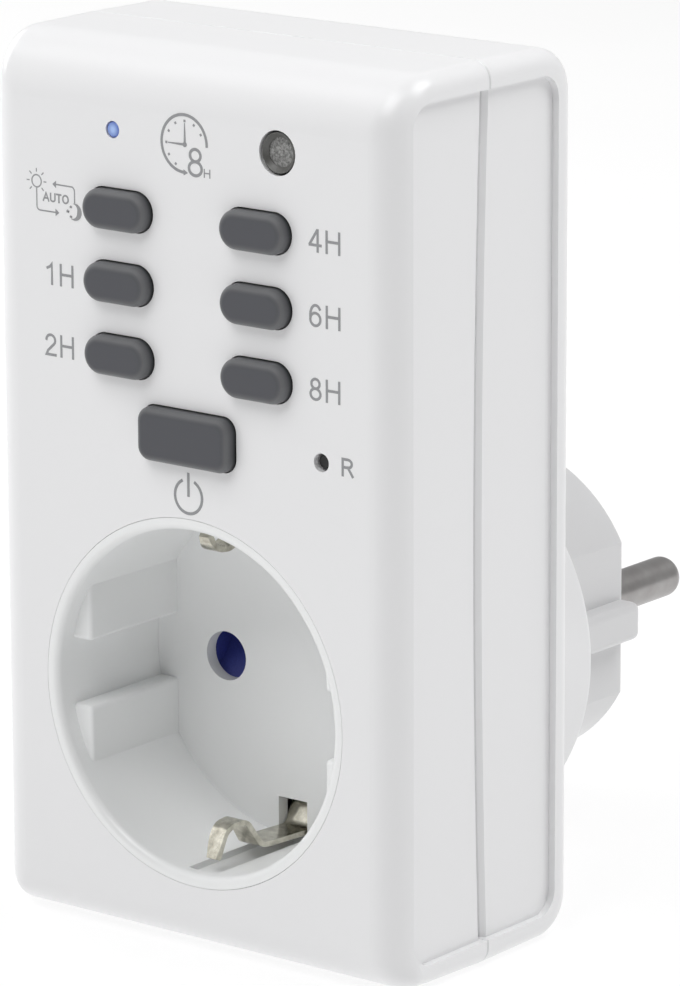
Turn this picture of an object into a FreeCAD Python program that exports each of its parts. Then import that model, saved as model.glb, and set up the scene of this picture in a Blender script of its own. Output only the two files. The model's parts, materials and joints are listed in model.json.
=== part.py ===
import FreeCAD, Part
import math
import os
from FreeCAD import Vector

# Plug-in countdown timer with a type F earthed socket in front and a type F plug behind.
# Millimetres. X is to the right seen from the front, Y goes back into the wall, Z is up.
# The origin is on the plug and socket axis, in the plane that rests on the wall outlet.
# Depths are measured back from the front face of the case, heights from the socket's axis.

# Case
CASE_W = 57.15
CASE_D = 31.5
FRONT_SHELL_D = 15.3
SEAM_BOW = 1.2
SEAM_GAP = 0.12
SEAM_BEVEL = 0.25
DRAFT = 0.011
FRONT_LOW_DRAFT = 0.03
WALL = 2.0
SIDE_WALL = 2.0
FRONT_TOP_R = 6.8
FRONT_BOTTOM_R = 4.5
REAR_TOP_R = 5.0
REAR_BOTTOM_R = 4.9
FRONT_EDGE_R = 4.0
SIDE_EDGE_R = 2.3
OVER = 1.0

# Layout up the front: the socket's axis above the bottom edge, then each row above the one before
SOCKET_UP = 28.6
POWER_ABOVE_RING = 9.1
KEYS_ABOVE_POWER = 7.85
KEY_PITCH = 8.1
LAMPS_ABOVE_KEYS = 8.7
TOP_ABOVE_LAMPS = 9.3

# Recessed side panels, with the seam as a groove across them
PANEL_SINK = 0.85
PANEL_FROM = 2.8
PANEL_TO = 28.3
PANEL_TOP_RIM = 2.95
PANEL_BOTTOM_RIM = 3.1
PANEL_R = 2.8
GROOVE_W = 1.0
GROOVE_SINK = 0.8
GROOVE_BEVEL = 0.5
LIP_T = 1.0
LIP_REACH = 2.0
LIP_CLEAR = 0.1

# Wall side: base disc, plug body, pins and earth contacts
BASE_RIM = 6.0
BASE_T = 9.4
BASE_WALL = 2.5
BASE_EDGE_R = 0.9
PLUG_R = 18.7
PLUG_L = 17.35
PLUG_FLAT_SINK = 2.27
PLUG_WALL = 2.0
PLUG_EDGE_R = 0.7
PLUG_RIB_PROUD = 0.3
PLUG_RIB_H = 4.5
PLUG_RIB_R = 1.0
PIN_R = 2.4
PIN_L = 18.8
PIN_TIP_R = 1.5
PIN_NECK_R = 2.1
PIN_COLLAR_R = 3.6
PIN_COLLAR_T = 1.8
PIN_STUB_L = 7.4
PIN_SPACING = 19.0
RETAINER_T = 3.1
EARTH_LEG_W = 5.0
EARTH_LEG_SINK = 1.15
EARTH_RECESS_W = 6.4
EARTH_RECESS_GAP = 0.2
EARTH_RECESS_WALL = 1.6

# Socket well
WELL_R = 19.5
WELL_RING_T = 1.35
WELL_DEPTH = 17.5
WELL_FLOOR_T = 1.6
WELL_LIP_R = 0.8
WELL_FLANGE_W = 1.75
WELL_FLANGE_T = 1.6
GUIDE_IN = 2.9
GUIDE_FROM = 2.4
GUIDE_GAP = 3.8
GUIDE_R = 0.5
GUIDE_ROOT = 0.5
HOLE_R = 2.85
CLIP_SLOT_IN = 0.3
CLIP_SLOT_CLEAR = 0.4
CLIP_SLOT_SIDE = 0.2
CLIP_CHANNEL_SINK = 0.6
CLIP_CHANNEL_FROM = 1.6

# Earth clips, one bent strip from the lower clip behind the well to the upper clip
STRIP_W = 3.7
STRIP_T = 0.6
STRIP_BEND_R = 1.2
STRAP_GAP = 0.2
LOWER_CLIP = ((3.25, 1.0), (4.75, 4.35), (7.75, 4.45), (10.05, 1.2))
UPPER_CLIP = ((2.5, 0.9), (3.3, 2.6), (5.4, 2.8), (9.6, 1.2))
CLIP_BENDS = [1.9, 1.6, 1.2, 1.2, 1.2]
CLIP_HEEL_IN = 0.75
CLIP_HEEL_BACK = 1.1
CLIP_KNEE_BACK = 1.1
CLIP_KNEE_IN = 3.7
CLIP_TIP_W = 1.0
CLIP_TIP_BEVEL = 0.45
CLIP_NECK_W = 2.9
CLIP_NECK_FROM = 9.4
CLIP_NECK_TO = 11.2
RIVET_R = 1.2
RIVET_HEAD_R = 1.8
RIVET_HEAD_T = 0.5

# Child-proof shutter behind the well floor, and the carrier that guides it
SHUTTER_T = 5.2
SHUTTER_W = 29.8
SHUTTER_BELOW = 3.6
SHUTTER_ABOVE = 9.6
SHUTTER_TRAVEL = 5.8
SHUTTER_WEB = 0.7
WINDOW_R = 2.95
SLIDE_CLEAR = 0.1
SHUTTER_GAP = 0.3
CARRIER_WALL = 1.2
CARRIER_SIDE = 2.2
CARRIER_PLATE_T = 1.3
CARRIER_BELOW = 13.4
CARRIER_HOLE_R = 3.2
POCKET_X = 4.3
POCKET_Z = 3.4
POCKET_L = 11.8
SPRING_R = 1.7
SPRING_WIRE_R = 0.22
SPRING_TURNS = 6
SPRING_PEG_R = 1.2
SPRING_PEG_L = 1.4

# Socket contacts
LEAF_T = 0.6
LEAF_H = 6.0
LEAF_L = 11.0
LEAF_BASE_X = 3.3
LEAF_MOUTH_X = 3.7
LEAF_CLEAR = 0.05
LEAF_GAP = 0.3
LEAF_BEND_R = 0.9
TAIL_W = 3.0
TAIL_X = 2.2
TAIL_UP = 8.0
LINK_W = 3.0
LINK_H = 5.2

# Circuit board and the parts on it
BOARD_DEPTH = 6.0
BOARD_T = 1.6
BOARD_SIDE_GAP = 4.425
BOARD_TOP_GAP = 2.5
BOARD_BELOW_POWER = 6.75
BOSS_R = 2.2
BOARD_SCREW_R = 0.75
BOARD_SCREW_L = 4.6
BOARD_SCREW_HEAD_R = 1.9
BOARD_SCREW_HEAD_T = 1.4
BOARD_SCREW_INSET_X = 2.5
BOARD_SCREW_UP = 2.1
BOARD_SCREW_X = 4.5
BOARD_SCREW_DOWN = 2.6
RELAY = (19.0, 15.4, 15.7)
RELAY_AT = (-11.0, 13.0)
BOX_EDGE_R = 0.5
FILM_CAPACITOR = (18.0, 14.0, 8.5)
FILM_CAPACITOR_AT = (10.8, 10.5)
ELECTROLYTIC_R = 4.0
ELECTROLYTIC_L = 12.0
ELECTROLYTIC_AT = (14.5, 22.0)
CRIMP_UP = 2.2
CRIMP_R = 0.5
CRIMP_SINK = 0.2
VARISTOR_R = 4.5
VARISTOR_T = 3.6
VARISTOR_UP = 1.2
VARISTOR_EDGE_R = 1.0
VARISTOR_AT = (3.4, 23.0)
LEAD_R = 0.4
LEAD_X = 0.8
LEAD_Z = 2.5
FUSE_R = 4.2
FUSE_L = 7.7
FUSE_EDGE_R = 0.6
FUSE_AT = (-6.5, 4.6)
CHIP = (10.0, 1.7, 4.0)
CHIP_AT = (-11.0, 16.8)
CHIP_EDGE_R = 0.2
WIRE_R = 1.1

# Wire routes: how far aside, behind and up each lead runs
LIVE_WIRE_BACK = 5.2
LIVE_WIRE_ASIDE = 3.5
LIVE_WIRE_LEAN = 2.6
LIVE_WIRE_LOW = 8.5
LIVE_WIRE_KNEE = 9.5
LIVE_WIRE_UP = 12.8
WIRE_WALL_GAP = 0.5
CONTACT_WIRE_LOW = 5.6
CONTACT_WIRE_KNEE = 6.8
CONTACT_WIRE_UP = 10.3

# Keypad
KEY_COLUMN = 9.58
KEY_ASIDE = 0.17
KEY_W = 9.0
KEY_H = 4.4
KEY_PROUD = 1.6
KEY_EDGE_R = 0.9
KEY_CLEAR = 0.15
KEY_TRAVEL = 1.0
KEY_SKIRT = 0.7
KEY_SKIRT_T = 1.0
KEY_SKIRT_GAP = 0.1
KEY_FOOT = 0.7
POWER_W = 12.8
POWER_H = 6.0
POWER_R = 1.6
PAD_T = 0.15
PAD_R = 1.1
PAD_CLEAR = 0.05
MAT_T = 1.2
MAT_MARGIN = 0.9
MAT_CLEAR = 0.3

# Indicator, light sensor and reset
LAMP_X = -10.35
LAMP_R = 0.95
LAMP_FLANGE_R = 1.4
LAMP_FLANGE_T = 0.75
LED_W = 1.6
LED_H = 1.2
LED_T = 1.05
SENSOR_X = 12.44
SENSOR_R = 2.45
SENSOR_WALL = 0.35
SENSOR_SINK = 0.75
SENSOR_T = 2.4
SENSOR_EDGE_R = 0.25
SENSOR_LEAD_R = 0.25
SENSOR_LEAD_X = 0.9
RESET_INSET = 10.375
RESET_HOLE_R = 1.02
RESET_R = 0.8
RESET_SINK = 0.55
RESET_COLLAR_R = 1.35
RESET_COLLAR_T = 0.6
RESET_TRAVEL = 0.4
RESET_BODY = 4.5
RESET_BODY_T = 2.6
RESET_COVER = 0.4
FIT_CLEAR = 0.05

# Case screws
SCREW_INSET_X = 6.95
SCREW_INSET_TOP = 6.4
SCREW_INSET_BOTTOM = 6.4
POST_R = 2.6
REAR_POST_R = 3.2
POST_END = 21.0
SCREW_R = 1.45
SCREW_CLEAR = 0.1
SCREW_HEAD_R = 2.7
SCREW_HEAD_T = 2.0
SCREW_HEAD_DEPTH = 25.8
SCREW_L = 17.8
SCREW_TIP_GAP = 0.5
SCREW_CROSS_L = 3.2
SCREW_CROSS_W = 0.7
SCREW_CROSS_T = 1.2

# What follows from the sizes above
FRONT_Y = -(CASE_D + BASE_T)
HALF_W = CASE_W / 2
INNER_X = HALF_W - PANEL_SINK - SIDE_WALL
DISC_END = CASE_D + BASE_T
PLUG_END = DISC_END + PLUG_L
PIN_X = PIN_SPACING / 2
BASE_R = PLUG_R + BASE_RIM
PLUG_FLAT = PLUG_R - PLUG_FLAT_SINK
PLUG_RIB_X = PLUG_R + PLUG_RIB_PROUD
EARTH_LEG_Z = PLUG_R - EARTH_LEG_SINK
EARTH_RECESS_Z = EARTH_LEG_Z - STRIP_T / 2 - EARTH_RECESS_GAP
WELL_RING_R = WELL_R + WELL_RING_T
WELL_FLANGE_R = WELL_RING_R + WELL_FLANGE_W
GUIDE_X = WELL_R - GUIDE_IN
FLOOR_BACK = WELL_DEPTH + WELL_FLOOR_T
SHUTTER_FRONT = FLOOR_BACK + SHUTTER_GAP
SHUTTER_BACK = SHUTTER_FRONT + SHUTTER_T
CARRIER_PLATE = SHUTTER_BACK + SHUTTER_GAP
CARRIER_BACK = CARRIER_PLATE + CARRIER_PLATE_T
POCKET_END = CARRIER_BACK + POCKET_L
STRAP_DEPTH = CARRIER_BACK + STRAP_GAP + STRIP_T / 2
PLUG_STRIP_DEPTH = STRAP_DEPTH + STRIP_T + FIT_CLEAR
CLIP_KNEE_Z = WELL_R - CLIP_KNEE_IN
LEAF_FROM = CARRIER_BACK + LEAF_GAP
LEAF_BASE = LEAF_FROM + LEAF_L - LEAF_T / 2
COLLAR_BACK = PLUG_END - PLUG_WALL - FIT_CLEAR
STUB_END = COLLAR_BACK - PIN_COLLAR_T - PIN_STUB_L

BOTTOM_Z = -SOCKET_UP
POWER_Z = WELL_RING_R + POWER_ABOVE_RING
KEY_BOTTOM = POWER_Z + KEYS_ABOVE_POWER
KEY_TOP = KEY_BOTTOM + 2 * KEY_PITCH
LAMP_Z = KEY_TOP + LAMPS_ABOVE_KEYS
TOP_Z = LAMP_Z + TOP_ABOVE_LAMPS
LAMP_AT = (LAMP_X, LAMP_Z)
SENSOR_AT = (SENSOR_X, LAMP_Z)
RESET_AT = (HALF_W - RESET_INSET, POWER_Z)
SMALL_KEYS = {
    "auto": (KEY_ASIDE - KEY_COLUMN, KEY_TOP),
    "1h": (KEY_ASIDE - KEY_COLUMN, KEY_TOP - KEY_PITCH),
    "2h": (KEY_ASIDE - KEY_COLUMN, KEY_BOTTOM),
    "4h": (KEY_ASIDE + KEY_COLUMN, KEY_TOP),
    "6h": (KEY_ASIDE + KEY_COLUMN, KEY_TOP - KEY_PITCH),
    "8h": (KEY_ASIDE + KEY_COLUMN, KEY_BOTTOM),
}

BOARD_BACK = BOARD_DEPTH + BOARD_T
BOARD_X = INNER_X - BOARD_SIDE_GAP
BOARD_LOW = POWER_Z - BOARD_BELOW_POWER
BOARD_HIGH = TOP_Z - WALL - BOARD_TOP_GAP
BOARD_SCREW_TIP = BOARD_BACK - BOARD_SCREW_L
BOARD_SCREWS = [
    (side * x, z)
    for side in (-1, 1)
    for x, z in (
        (BOARD_X - BOARD_SCREW_INSET_X, BOARD_LOW + BOARD_SCREW_UP),
        (BOARD_SCREW_X, BOARD_HIGH - BOARD_SCREW_DOWN),
    )
]
SCREW_TIP = SCREW_HEAD_DEPTH - SCREW_L
SCREW_SPOTS = [
    (side * (HALF_W - SCREW_INSET_X), z)
    for side in (-1, 1)
    for z in (BOTTOM_Z + SCREW_INSET_BOTTOM, TOP_Z - SCREW_INSET_TOP)
]


def at(depth):
    """The Y of a depth behind the front face."""
    return FRONT_Y + depth


def block(x0, x1, d0, d1, z0, z1):
    return Part.makeBox(x1 - x0, d1 - d0, z1 - z0, Vector(x0, at(d0), z0))


def rod(radius, d0, d1, x=0.0, z=0.0):
    """A cylinder along Y between two depths."""
    return Part.makeCylinder(radius, d1 - d0, Vector(x, at(d0), z), Vector(0, 1, 0))


def outline(points, radii, place):
    """A closed wire through 2-D points with an arc at each corner that has a radius."""
    count = len(points)
    corners = []
    for i in range(count):
        point = points[i]
        back = (points[i - 1] - point).normalize()
        on = (points[(i + 1) % count] - point).normalize()
        half = back.getAngle(on) / 2
        reach = radii[i] / math.tan(half)
        middle = (back + on).normalize()
        apex = point + middle * (radii[i] / math.sin(half) - radii[i])
        corners.append((point + back * reach, apex, point + on * reach))
    edges = []
    for i in range(count):
        start, apex, end = (place(spot) for spot in corners[i])
        following = place(corners[(i + 1) % count][0])
        if radii[i] > 0:
            edges.append(Part.Arc(start, apex, end).toShape())
        if (following - end).Length > 1e-6:
            edges.append(Part.LineSegment(end, following).toShape())
    return Part.Wire(edges)


def prism_x(points, radii, x0, x1):
    """A profile of (depth, z) points run along X."""
    wire = outline([Vector(*p, 0) for p in points], radii, lambda q: Vector(x0, at(q.x), q.y))
    return Part.Face(wire).extrude(Vector(x1 - x0, 0, 0))


def prism_y(points, radii, d0, d1):
    """A profile of (x, z) points run along Y."""
    wire = outline([Vector(*p, 0) for p in points], radii, lambda q: Vector(q.x, at(d0), q.y))
    return Part.Face(wire).extrude(Vector(0, d1 - d0, 0))


def rounded_bar(width, height, radius, d0, d1, x, z):
    """A rounded rectangle across X and Z, run along Y."""
    a, b = width / 2, height / 2
    corners = [(x - a, z - b), (x + a, z - b), (x + a, z + b), (x - a, z + b)]
    return prism_y(corners, [min(radius, a, b)] * 4, d0, d1)


def beside(points, distance):
    """The corners of an open path moved sideways, to the left when positive."""
    moved = []
    for i, point in enumerate(points):
        legs = []
        if i > 0:
            legs.append((point - points[i - 1]).normalize())
        if i < len(points) - 1:
            legs.append((points[i + 1] - point).normalize())
        normals = [Vector(-leg.y, leg.x, 0) for leg in legs]
        middle = (normals[0] + normals[-1]).normalize()
        moved.append(point + middle * (distance / middle.dot(normals[0])))
    return moved


def strip(points, bend, thickness, place, run):
    """A sheet strip bent along a 2-D centreline, at one radius or a list, and as wide as the vector run."""
    path = [Vector(*p, 0) for p in points]
    bends = bend if isinstance(bend, list) else [bend] * (len(path) - 2)
    left_radii, right_radii = [0.0], [0.0]
    for i in range(1, len(path) - 1):
        turn = (path[i] - path[i - 1]).cross(path[i + 1] - path[i]).z
        lean = thickness / 2 if turn > 0 else -thickness / 2
        left_radii.append(bends[i - 1] - lean)
        right_radii.append(bends[i - 1] + lean)
    left_radii.append(0.0)
    right_radii.append(0.0)
    sides = beside(path, thickness / 2) + beside(path, -thickness / 2)[::-1]
    wire = outline(sides, left_radii + right_radii[::-1], place)
    return Part.Face(wire).extrude(run)


def round_edges(shape, radius, wanted):
    edges = [edge for edge in shape.Edges if wanted(edge)]
    return shape.makeFillet(radius, edges)


def lies_at(edge, depth):
    return all(abs(v.Y - at(depth)) < 1e-4 for v in edge.Vertexes)


def seam_tool(offset):
    """Everything in front of the bowed seam surface, moved back by offset."""
    low, high, far = BOTTOM_Z - OVER, TOP_Z + OVER, HALF_W + OVER
    end = FRONT_SHELL_D + SEAM_BOW / 2 + offset
    middle = FRONT_SHELL_D - SEAM_BOW / 2 + offset
    spots = [(-OVER, low), (end, low), (end, high), (-OVER, high)]
    corners = [Vector(-far, at(d), z) for d, z in spots]
    bow = Part.Arc(corners[1], Vector(-far, at(middle), (low + high) / 2), corners[2])
    lines = [Part.makeLine(corners[0], corners[1]), bow.toShape()]
    lines += [Part.makeLine(corners[2], corners[3]), Part.makeLine(corners[3], corners[0])]
    return Part.Face(Part.Wire(lines)).extrude(Vector(2 * far, 0, 0))


def case_half(wall_at, seam_at, radii, low_draft, edge_radius):
    """A half of the case run across X, its side edges rounded except at the seam."""
    length = abs(seam_at - wall_at)
    low, high = BOTTOM_Z + low_draft * length, TOP_Z - DRAFT * length
    profile = [(wall_at, low), (wall_at, high), (seam_at, TOP_Z), (seam_at, BOTTOM_Z)]
    solid = prism_x(profile, radii + [0, 0], -HALF_W, HALF_W)
    chosen = []
    for number, edge in enumerate(solid.Edges, 1):
        on_side = all(abs(abs(v.X) - HALF_W) < 1e-6 for v in edge.Vertexes)
        across = abs(edge.Vertexes[0].X - edge.Vertexes[-1].X) > 1e-6
        if not on_side or across or lies_at(edge, seam_at):
            continue
        ends = []
        for parameter in (edge.FirstParameter, edge.LastParameter):
            near_wall = abs(edge.valueAt(parameter).y - at(wall_at)) < 1e-4
            ends.append(edge_radius if near_wall else SIDE_EDGE_R)
        chosen.append((number, ends[0], ends[1]))
    page = FreeCAD.newDocument("half")
    raw = page.addObject("Part::Feature")
    raw.Shape = solid
    soft = page.addObject("Part::Fillet")
    soft.Base = raw
    soft.Edges = chosen
    page.recompute()
    result = soft.Shape.copy()
    FreeCAD.closeDocument(page.Name)
    return result


def front_half():
    radii = [FRONT_BOTTOM_R, FRONT_TOP_R]
    return case_half(0, FRONT_SHELL_D + SEAM_BOW, radii, FRONT_LOW_DRAFT, FRONT_EDGE_R)


def rear_half():
    radii = [REAR_BOTTOM_R, REAR_TOP_R]
    return case_half(CASE_D, FRONT_SHELL_D - SEAM_BOW, radii, DRAFT, SIDE_EDGE_R)


def panel_cuts(sink, d0, d1, radius):
    """The two side recesses, sunk from the sides of the case."""
    low, high = BOTTOM_Z + PANEL_BOTTOM_RIM, TOP_Z - PANEL_TOP_RIM
    points = [(d0, low), (d0, high), (d1, high), (d1, low)]
    radii = [radius] * 4
    right = prism_x(points, radii, HALF_W - sink, HALF_W + OVER)
    left = prism_x(points, radii, -HALF_W - OVER, -HALF_W + sink)
    return right.fuse(left)


def groove_cut():
    band = seam_tool(GROOVE_W / 2).cut(seam_tool(-GROOVE_W / 2))
    d0, d1 = FRONT_SHELL_D - SEAM_BOW - GROOVE_W, FRONT_SHELL_D + SEAM_BOW + GROOVE_W
    return band.common(panel_cuts(PANEL_SINK + GROOVE_SINK, d0, d1, 0.0))


def cavity(d0, d1, front_radii, back_radii, inset=0.0):
    """The hollow of the case between two depths, with its own corner radii."""
    low, high = BOTTOM_Z + WALL + inset, TOP_Z - WALL - inset
    drop = DRAFT * FRONT_SHELL_D
    points = [(d0, low + drop), (d0, high - drop), (d1, high - drop), (d1, low + drop)]
    radii = [front_radii[0], front_radii[1], back_radii[1], back_radii[0]]
    return prism_x(points, radii, -INNER_X + inset, INNER_X - inset)


def lip_frame():
    """The rear shell's lip, which reaches forward inside the front shell."""
    d0 = FRONT_SHELL_D - SEAM_BOW / 2 - LIP_REACH
    d1 = FRONT_SHELL_D + SEAM_BOW / 2 + SEAM_GAP + LIP_REACH
    root = FRONT_SHELL_D + SEAM_BOW / 2 + SEAM_GAP
    square = (0.0, 0.0)
    lip = cavity(d0, d1, square, square, LIP_CLEAR)
    lip = lip.fuse(cavity(root, d1, square, square, -LIP_CLEAR))
    return lip.cut(cavity(d0 - OVER, d1 + OVER, square, square, LIP_CLEAR + LIP_T))


def key_hole(width, height, radius, x, z):
    grow = 2 * KEY_CLEAR
    return rounded_bar(width + grow, height + grow, radius + KEY_CLEAR, -OVER, WALL + OVER, x, z)


def front_shell():
    shell = front_half().common(seam_tool(0.0))
    shell = shell.cut(panel_cuts(PANEL_SINK, PANEL_FROM, PANEL_TO, PANEL_R))
    shell = shell.cut(groove_cut())
    inner_top, inner_low = FRONT_TOP_R - WALL, FRONT_BOTTOM_R - WALL
    shell = shell.cut(cavity(WALL, CASE_D, (inner_low, inner_top), (0.0, 0.0)))
    for x, z in SCREW_SPOTS:
        shell = shell.fuse(rod(POST_R, WALL / 2, POST_END - FIT_CLEAR, x, z))
        shell = shell.cut(rod(SCREW_R + FIT_CLEAR, SCREW_TIP - SCREW_TIP_GAP, POST_END, x, z))
    for x, z in BOARD_SCREWS:
        shell = shell.fuse(rod(BOSS_R, WALL / 2, BOARD_DEPTH, x, z))
        tip = BOARD_SCREW_TIP - SCREW_TIP_GAP
        shell = shell.cut(rod(BOARD_SCREW_R + FIT_CLEAR, tip, BOARD_DEPTH, x, z))
    shell = shell.cut(rod(WELL_RING_R + FIT_CLEAR, -OVER, WALL + OVER))
    for x, z in SMALL_KEYS.values():
        shell = shell.cut(key_hole(KEY_W, KEY_H, KEY_H / 2, x, z))
    shell = shell.cut(key_hole(POWER_W, POWER_H, POWER_R, 0, POWER_Z))
    shell = shell.cut(rod(LAMP_R, -OVER, WALL + OVER, *LAMP_AT))
    shell = shell.cut(rod(SENSOR_R, -OVER, WALL + OVER, *SENSOR_AT))
    return shell.cut(rod(RESET_HOLE_R, -OVER, WALL + OVER, *RESET_AT))


def plug_body():
    """The round plug with its two flats, guide ribs and the recesses of the earth contacts."""
    start, end = DISC_END - OVER, PLUG_END
    body = rod(PLUG_R, start, end).common(block(-PLUG_FLAT, PLUG_FLAT, start, end, -PLUG_R, PLUG_R))
    body = round_edges(body, PLUG_EDGE_R, lambda edge: lies_at(edge, end))
    half = PLUG_RIB_H / 2
    rib = block(-PLUG_RIB_X, PLUG_RIB_X, start, end, -half, half)

    def outer(edge):
        far = all(abs(abs(v.X) - PLUG_RIB_X) < 1e-4 for v in edge.Vertexes)
        return far and not lies_at(edge, start)

    rib = round_edges(rib, min(PLUG_RIB_R, half * 0.95), outer)
    return body.fuse(rib)


def rear_shell():
    shell = rear_half().cut(seam_tool(SEAM_GAP))
    behind = at(FRONT_SHELL_D + SEAM_BOW + SEAM_GAP)
    seam = [edge for edge in shell.Edges if all(v.Y < behind for v in edge.Vertexes)]
    shell = shell.makeChamfer(SEAM_BEVEL, seam)
    shell = shell.cut(panel_cuts(PANEL_SINK, PANEL_FROM, PANEL_TO, PANEL_R))
    shell = shell.cut(groove_cut())

    def groove_edge(edge):
        on_panel = all(abs(abs(v.X) - HALF_W + PANEL_SINK) < 1e-4 for v in edge.Vertexes)
        near_seam = all(v.Y < at(FRONT_SHELL_D + SEAM_BOW + GROOVE_W) for v in edge.Vertexes)
        return on_panel and near_seam and edge.Length > HALF_W

    shell = shell.makeChamfer(GROOVE_BEVEL, [edge for edge in shell.Edges if groove_edge(edge)])
    disc = rod(BASE_R, CASE_D - WALL / 2, DISC_END)
    disc = round_edges(disc, BASE_EDGE_R, lambda edge: lies_at(edge, DISC_END))
    shell = shell.fuse(disc).fuse(plug_body())
    inner_top, inner_low = REAR_TOP_R - WALL, REAR_BOTTOM_R - WALL
    back = CASE_D - WALL
    shell = shell.cut(cavity(0, back, (0.0, 0.0), (inner_low, inner_top)))
    shell = shell.fuse(lip_frame())
    shell = shell.cut(rod(BASE_R - BASE_WALL, back - OVER, DISC_END - BASE_WALL))
    hollow = rod(PLUG_R - PLUG_WALL, DISC_END - BASE_WALL - OVER, PLUG_END - PLUG_WALL)
    room_x, room_z = PLUG_FLAT - PLUG_WALL, EARTH_RECESS_Z - EARTH_RECESS_WALL
    room = block(-room_x, room_x, DISC_END - BASE_T, PLUG_END, -room_z, room_z)
    shell = shell.cut(hollow.common(room))
    half = EARTH_RECESS_W / 2
    for side in (-1, 1):
        low, high = sorted((side * EARTH_RECESS_Z, side * (PLUG_R + OVER)))
        shell = shell.cut(block(-half, half, DISC_END, PLUG_END + OVER, low, high))
        leg = EARTH_LEG_W / 2 + FIT_CLEAR
        near, far = EARTH_LEG_Z - STRIP_T / 2 - FIT_CLEAR, EARTH_LEG_Z + STRIP_T / 2 + FIT_CLEAR
        low, high = sorted((side * near, side * far))
        shell = shell.cut(block(-leg, leg, DISC_END - BASE_WALL - OVER, DISC_END + OVER, low, high))
        neck = rod(PIN_NECK_R + FIT_CLEAR, PLUG_END - PLUG_WALL - OVER, PLUG_END + OVER, side * PIN_X)
        shell = shell.cut(neck)
    for x, z in SCREW_SPOTS:
        shell = shell.fuse(rod(REAR_POST_R, POST_END, CASE_D - WALL / 2, x, z))
        shell = shell.cut(rod(SCREW_R + SCREW_CLEAR, POST_END - OVER, CASE_D, x, z))
        shell = shell.cut(rod(SCREW_HEAD_R + SCREW_CLEAR, SCREW_HEAD_DEPTH, CASE_D + OVER, x, z))
    return shell


def guide_ribs():
    """The two ribs on each side of the well, with a gap between them for the plug's own rib."""
    root = WELL_DEPTH + GUIDE_ROOT
    disc = rod(WELL_R + GUIDE_ROOT, GUIDE_FROM, root)
    ribs = []
    for side_x in (-1, 1):
        for side_z in (-1, 1):
            low_x, high_x = sorted((side_x * GUIDE_X, side_x * (WELL_R + OVER)))
            low_z, high_z = sorted((side_z * GUIDE_GAP, side_z * WELL_R))
            rib = disc.common(block(low_x, high_x, GUIDE_FROM, root, low_z, high_z))

            def shows(edge):
                inner = all(abs(abs(v.X) - GUIDE_X) < 1e-4 for v in edge.Vertexes)
                beside_gap = all(abs(abs(v.Z) - GUIDE_GAP) < 1e-4 for v in edge.Vertexes)
                straight = len(edge.Vertexes) == 2 and abs(edge.Vertexes[0].X - edge.Vertexes[1].X) < 1e-4
                at_front = lies_at(edge, GUIDE_FROM)
                return (inner or beside_gap) and (at_front or (inner and beside_gap and straight))

            ribs.append(round_edges(rib, GUIDE_R, shows))
    return ribs


def socket_well():
    well = rod(WELL_RING_R, 0, FLOOR_BACK)
    well = well.fuse(rod(WELL_FLANGE_R, WALL + FIT_CLEAR, WALL + FIT_CLEAR + WELL_FLANGE_T))
    well = well.cut(rod(WELL_R, -OVER, WELL_DEPTH))
    mouth = 2 * math.pi * (WELL_R + WELL_RING_R) / 2
    well = round_edges(well, WELL_LIP_R, lambda edge: lies_at(edge, 0) and edge.Length < mouth)
    for rib in guide_ribs():
        well = well.fuse(rib)
    for side in (-1, 1):
        well = well.cut(rod(HOLE_R, WELL_DEPTH - OVER, FLOOR_BACK + OVER, side * PIN_X))
        half = STRIP_W / 2 + CLIP_SLOT_SIDE
        slot = CLIP_KNEE_Z - STRIP_T / 2 - CLIP_SLOT_CLEAR
        low, high = sorted((side * slot, side * (WELL_R - CLIP_SLOT_IN)))
        well = well.cut(block(-half, half, WELL_DEPTH - OVER, FLOOR_BACK + OVER, low, high))
        low, high = sorted((side * (WELL_R - OVER), side * (WELL_R + CLIP_CHANNEL_SINK)))
        well = well.cut(block(-half, half, CLIP_CHANNEL_FROM, WELL_DEPTH, low, high))
    return well


def earth_clips():
    """Both earth clips and the strap between them, bent from one nickel-plated strip."""
    rest = [(WELL_DEPTH + CLIP_HEEL_BACK, WELL_R - CLIP_HEEL_IN)]
    rest += [(FLOOR_BACK + CLIP_KNEE_BACK, CLIP_KNEE_Z), (STRAP_DEPTH, CLIP_KNEE_Z)]
    lower = [(depth, WELL_R - inwards) for depth, inwards in LOWER_CLIP] + rest
    upper = [(depth, WELL_R - inwards) for depth, inwards in UPPER_CLIP] + rest
    path = [(depth, -z) for depth, z in lower] + upper[::-1]
    half, bends = STRIP_W / 2, CLIP_BENDS + [STRIP_BEND_R] * 2 + CLIP_BENDS[::-1]
    strap = strip(path, bends, STRIP_T, lambda q: Vector(-half, at(q.x), q.y), Vector(STRIP_W, 0, 0))
    strap = strap.cut(clip_trim(LOWER_CLIP[0][0], -WELL_R)).cut(clip_trim(UPPER_CLIP[0][0], WELL_R))
    return strap.cut(rod(RIVET_R + FIT_CLEAR, STRAP_DEPTH - 2, STRAP_DEPTH + 2))


def clip_trim(tip, height):
    """What is stamped off both edges of a clip, which narrows towards its bevelled tip."""
    start, far = tip - STRIP_T, STRIP_W / 2 + OVER
    plan = [(CLIP_TIP_W / 2, start), (CLIP_TIP_W / 2 + CLIP_TIP_BEVEL, tip + CLIP_TIP_BEVEL)]
    plan += [(CLIP_NECK_W / 2, CLIP_NECK_FROM), (STRIP_W / 2, CLIP_NECK_TO), (far, CLIP_NECK_TO), (far, start)]
    pieces = []
    for side in (-1, 1):
        spots = [Vector(side * x, d, 0) for x, d in plan]
        wire = outline(spots, [0.0] * len(spots), lambda q: Vector(q.x, at(q.y), 0))
        pieces.append(Part.Face(wire).extrude(Vector(0, 0, height)))
    return pieces[0].fuse(pieces[1])


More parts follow.
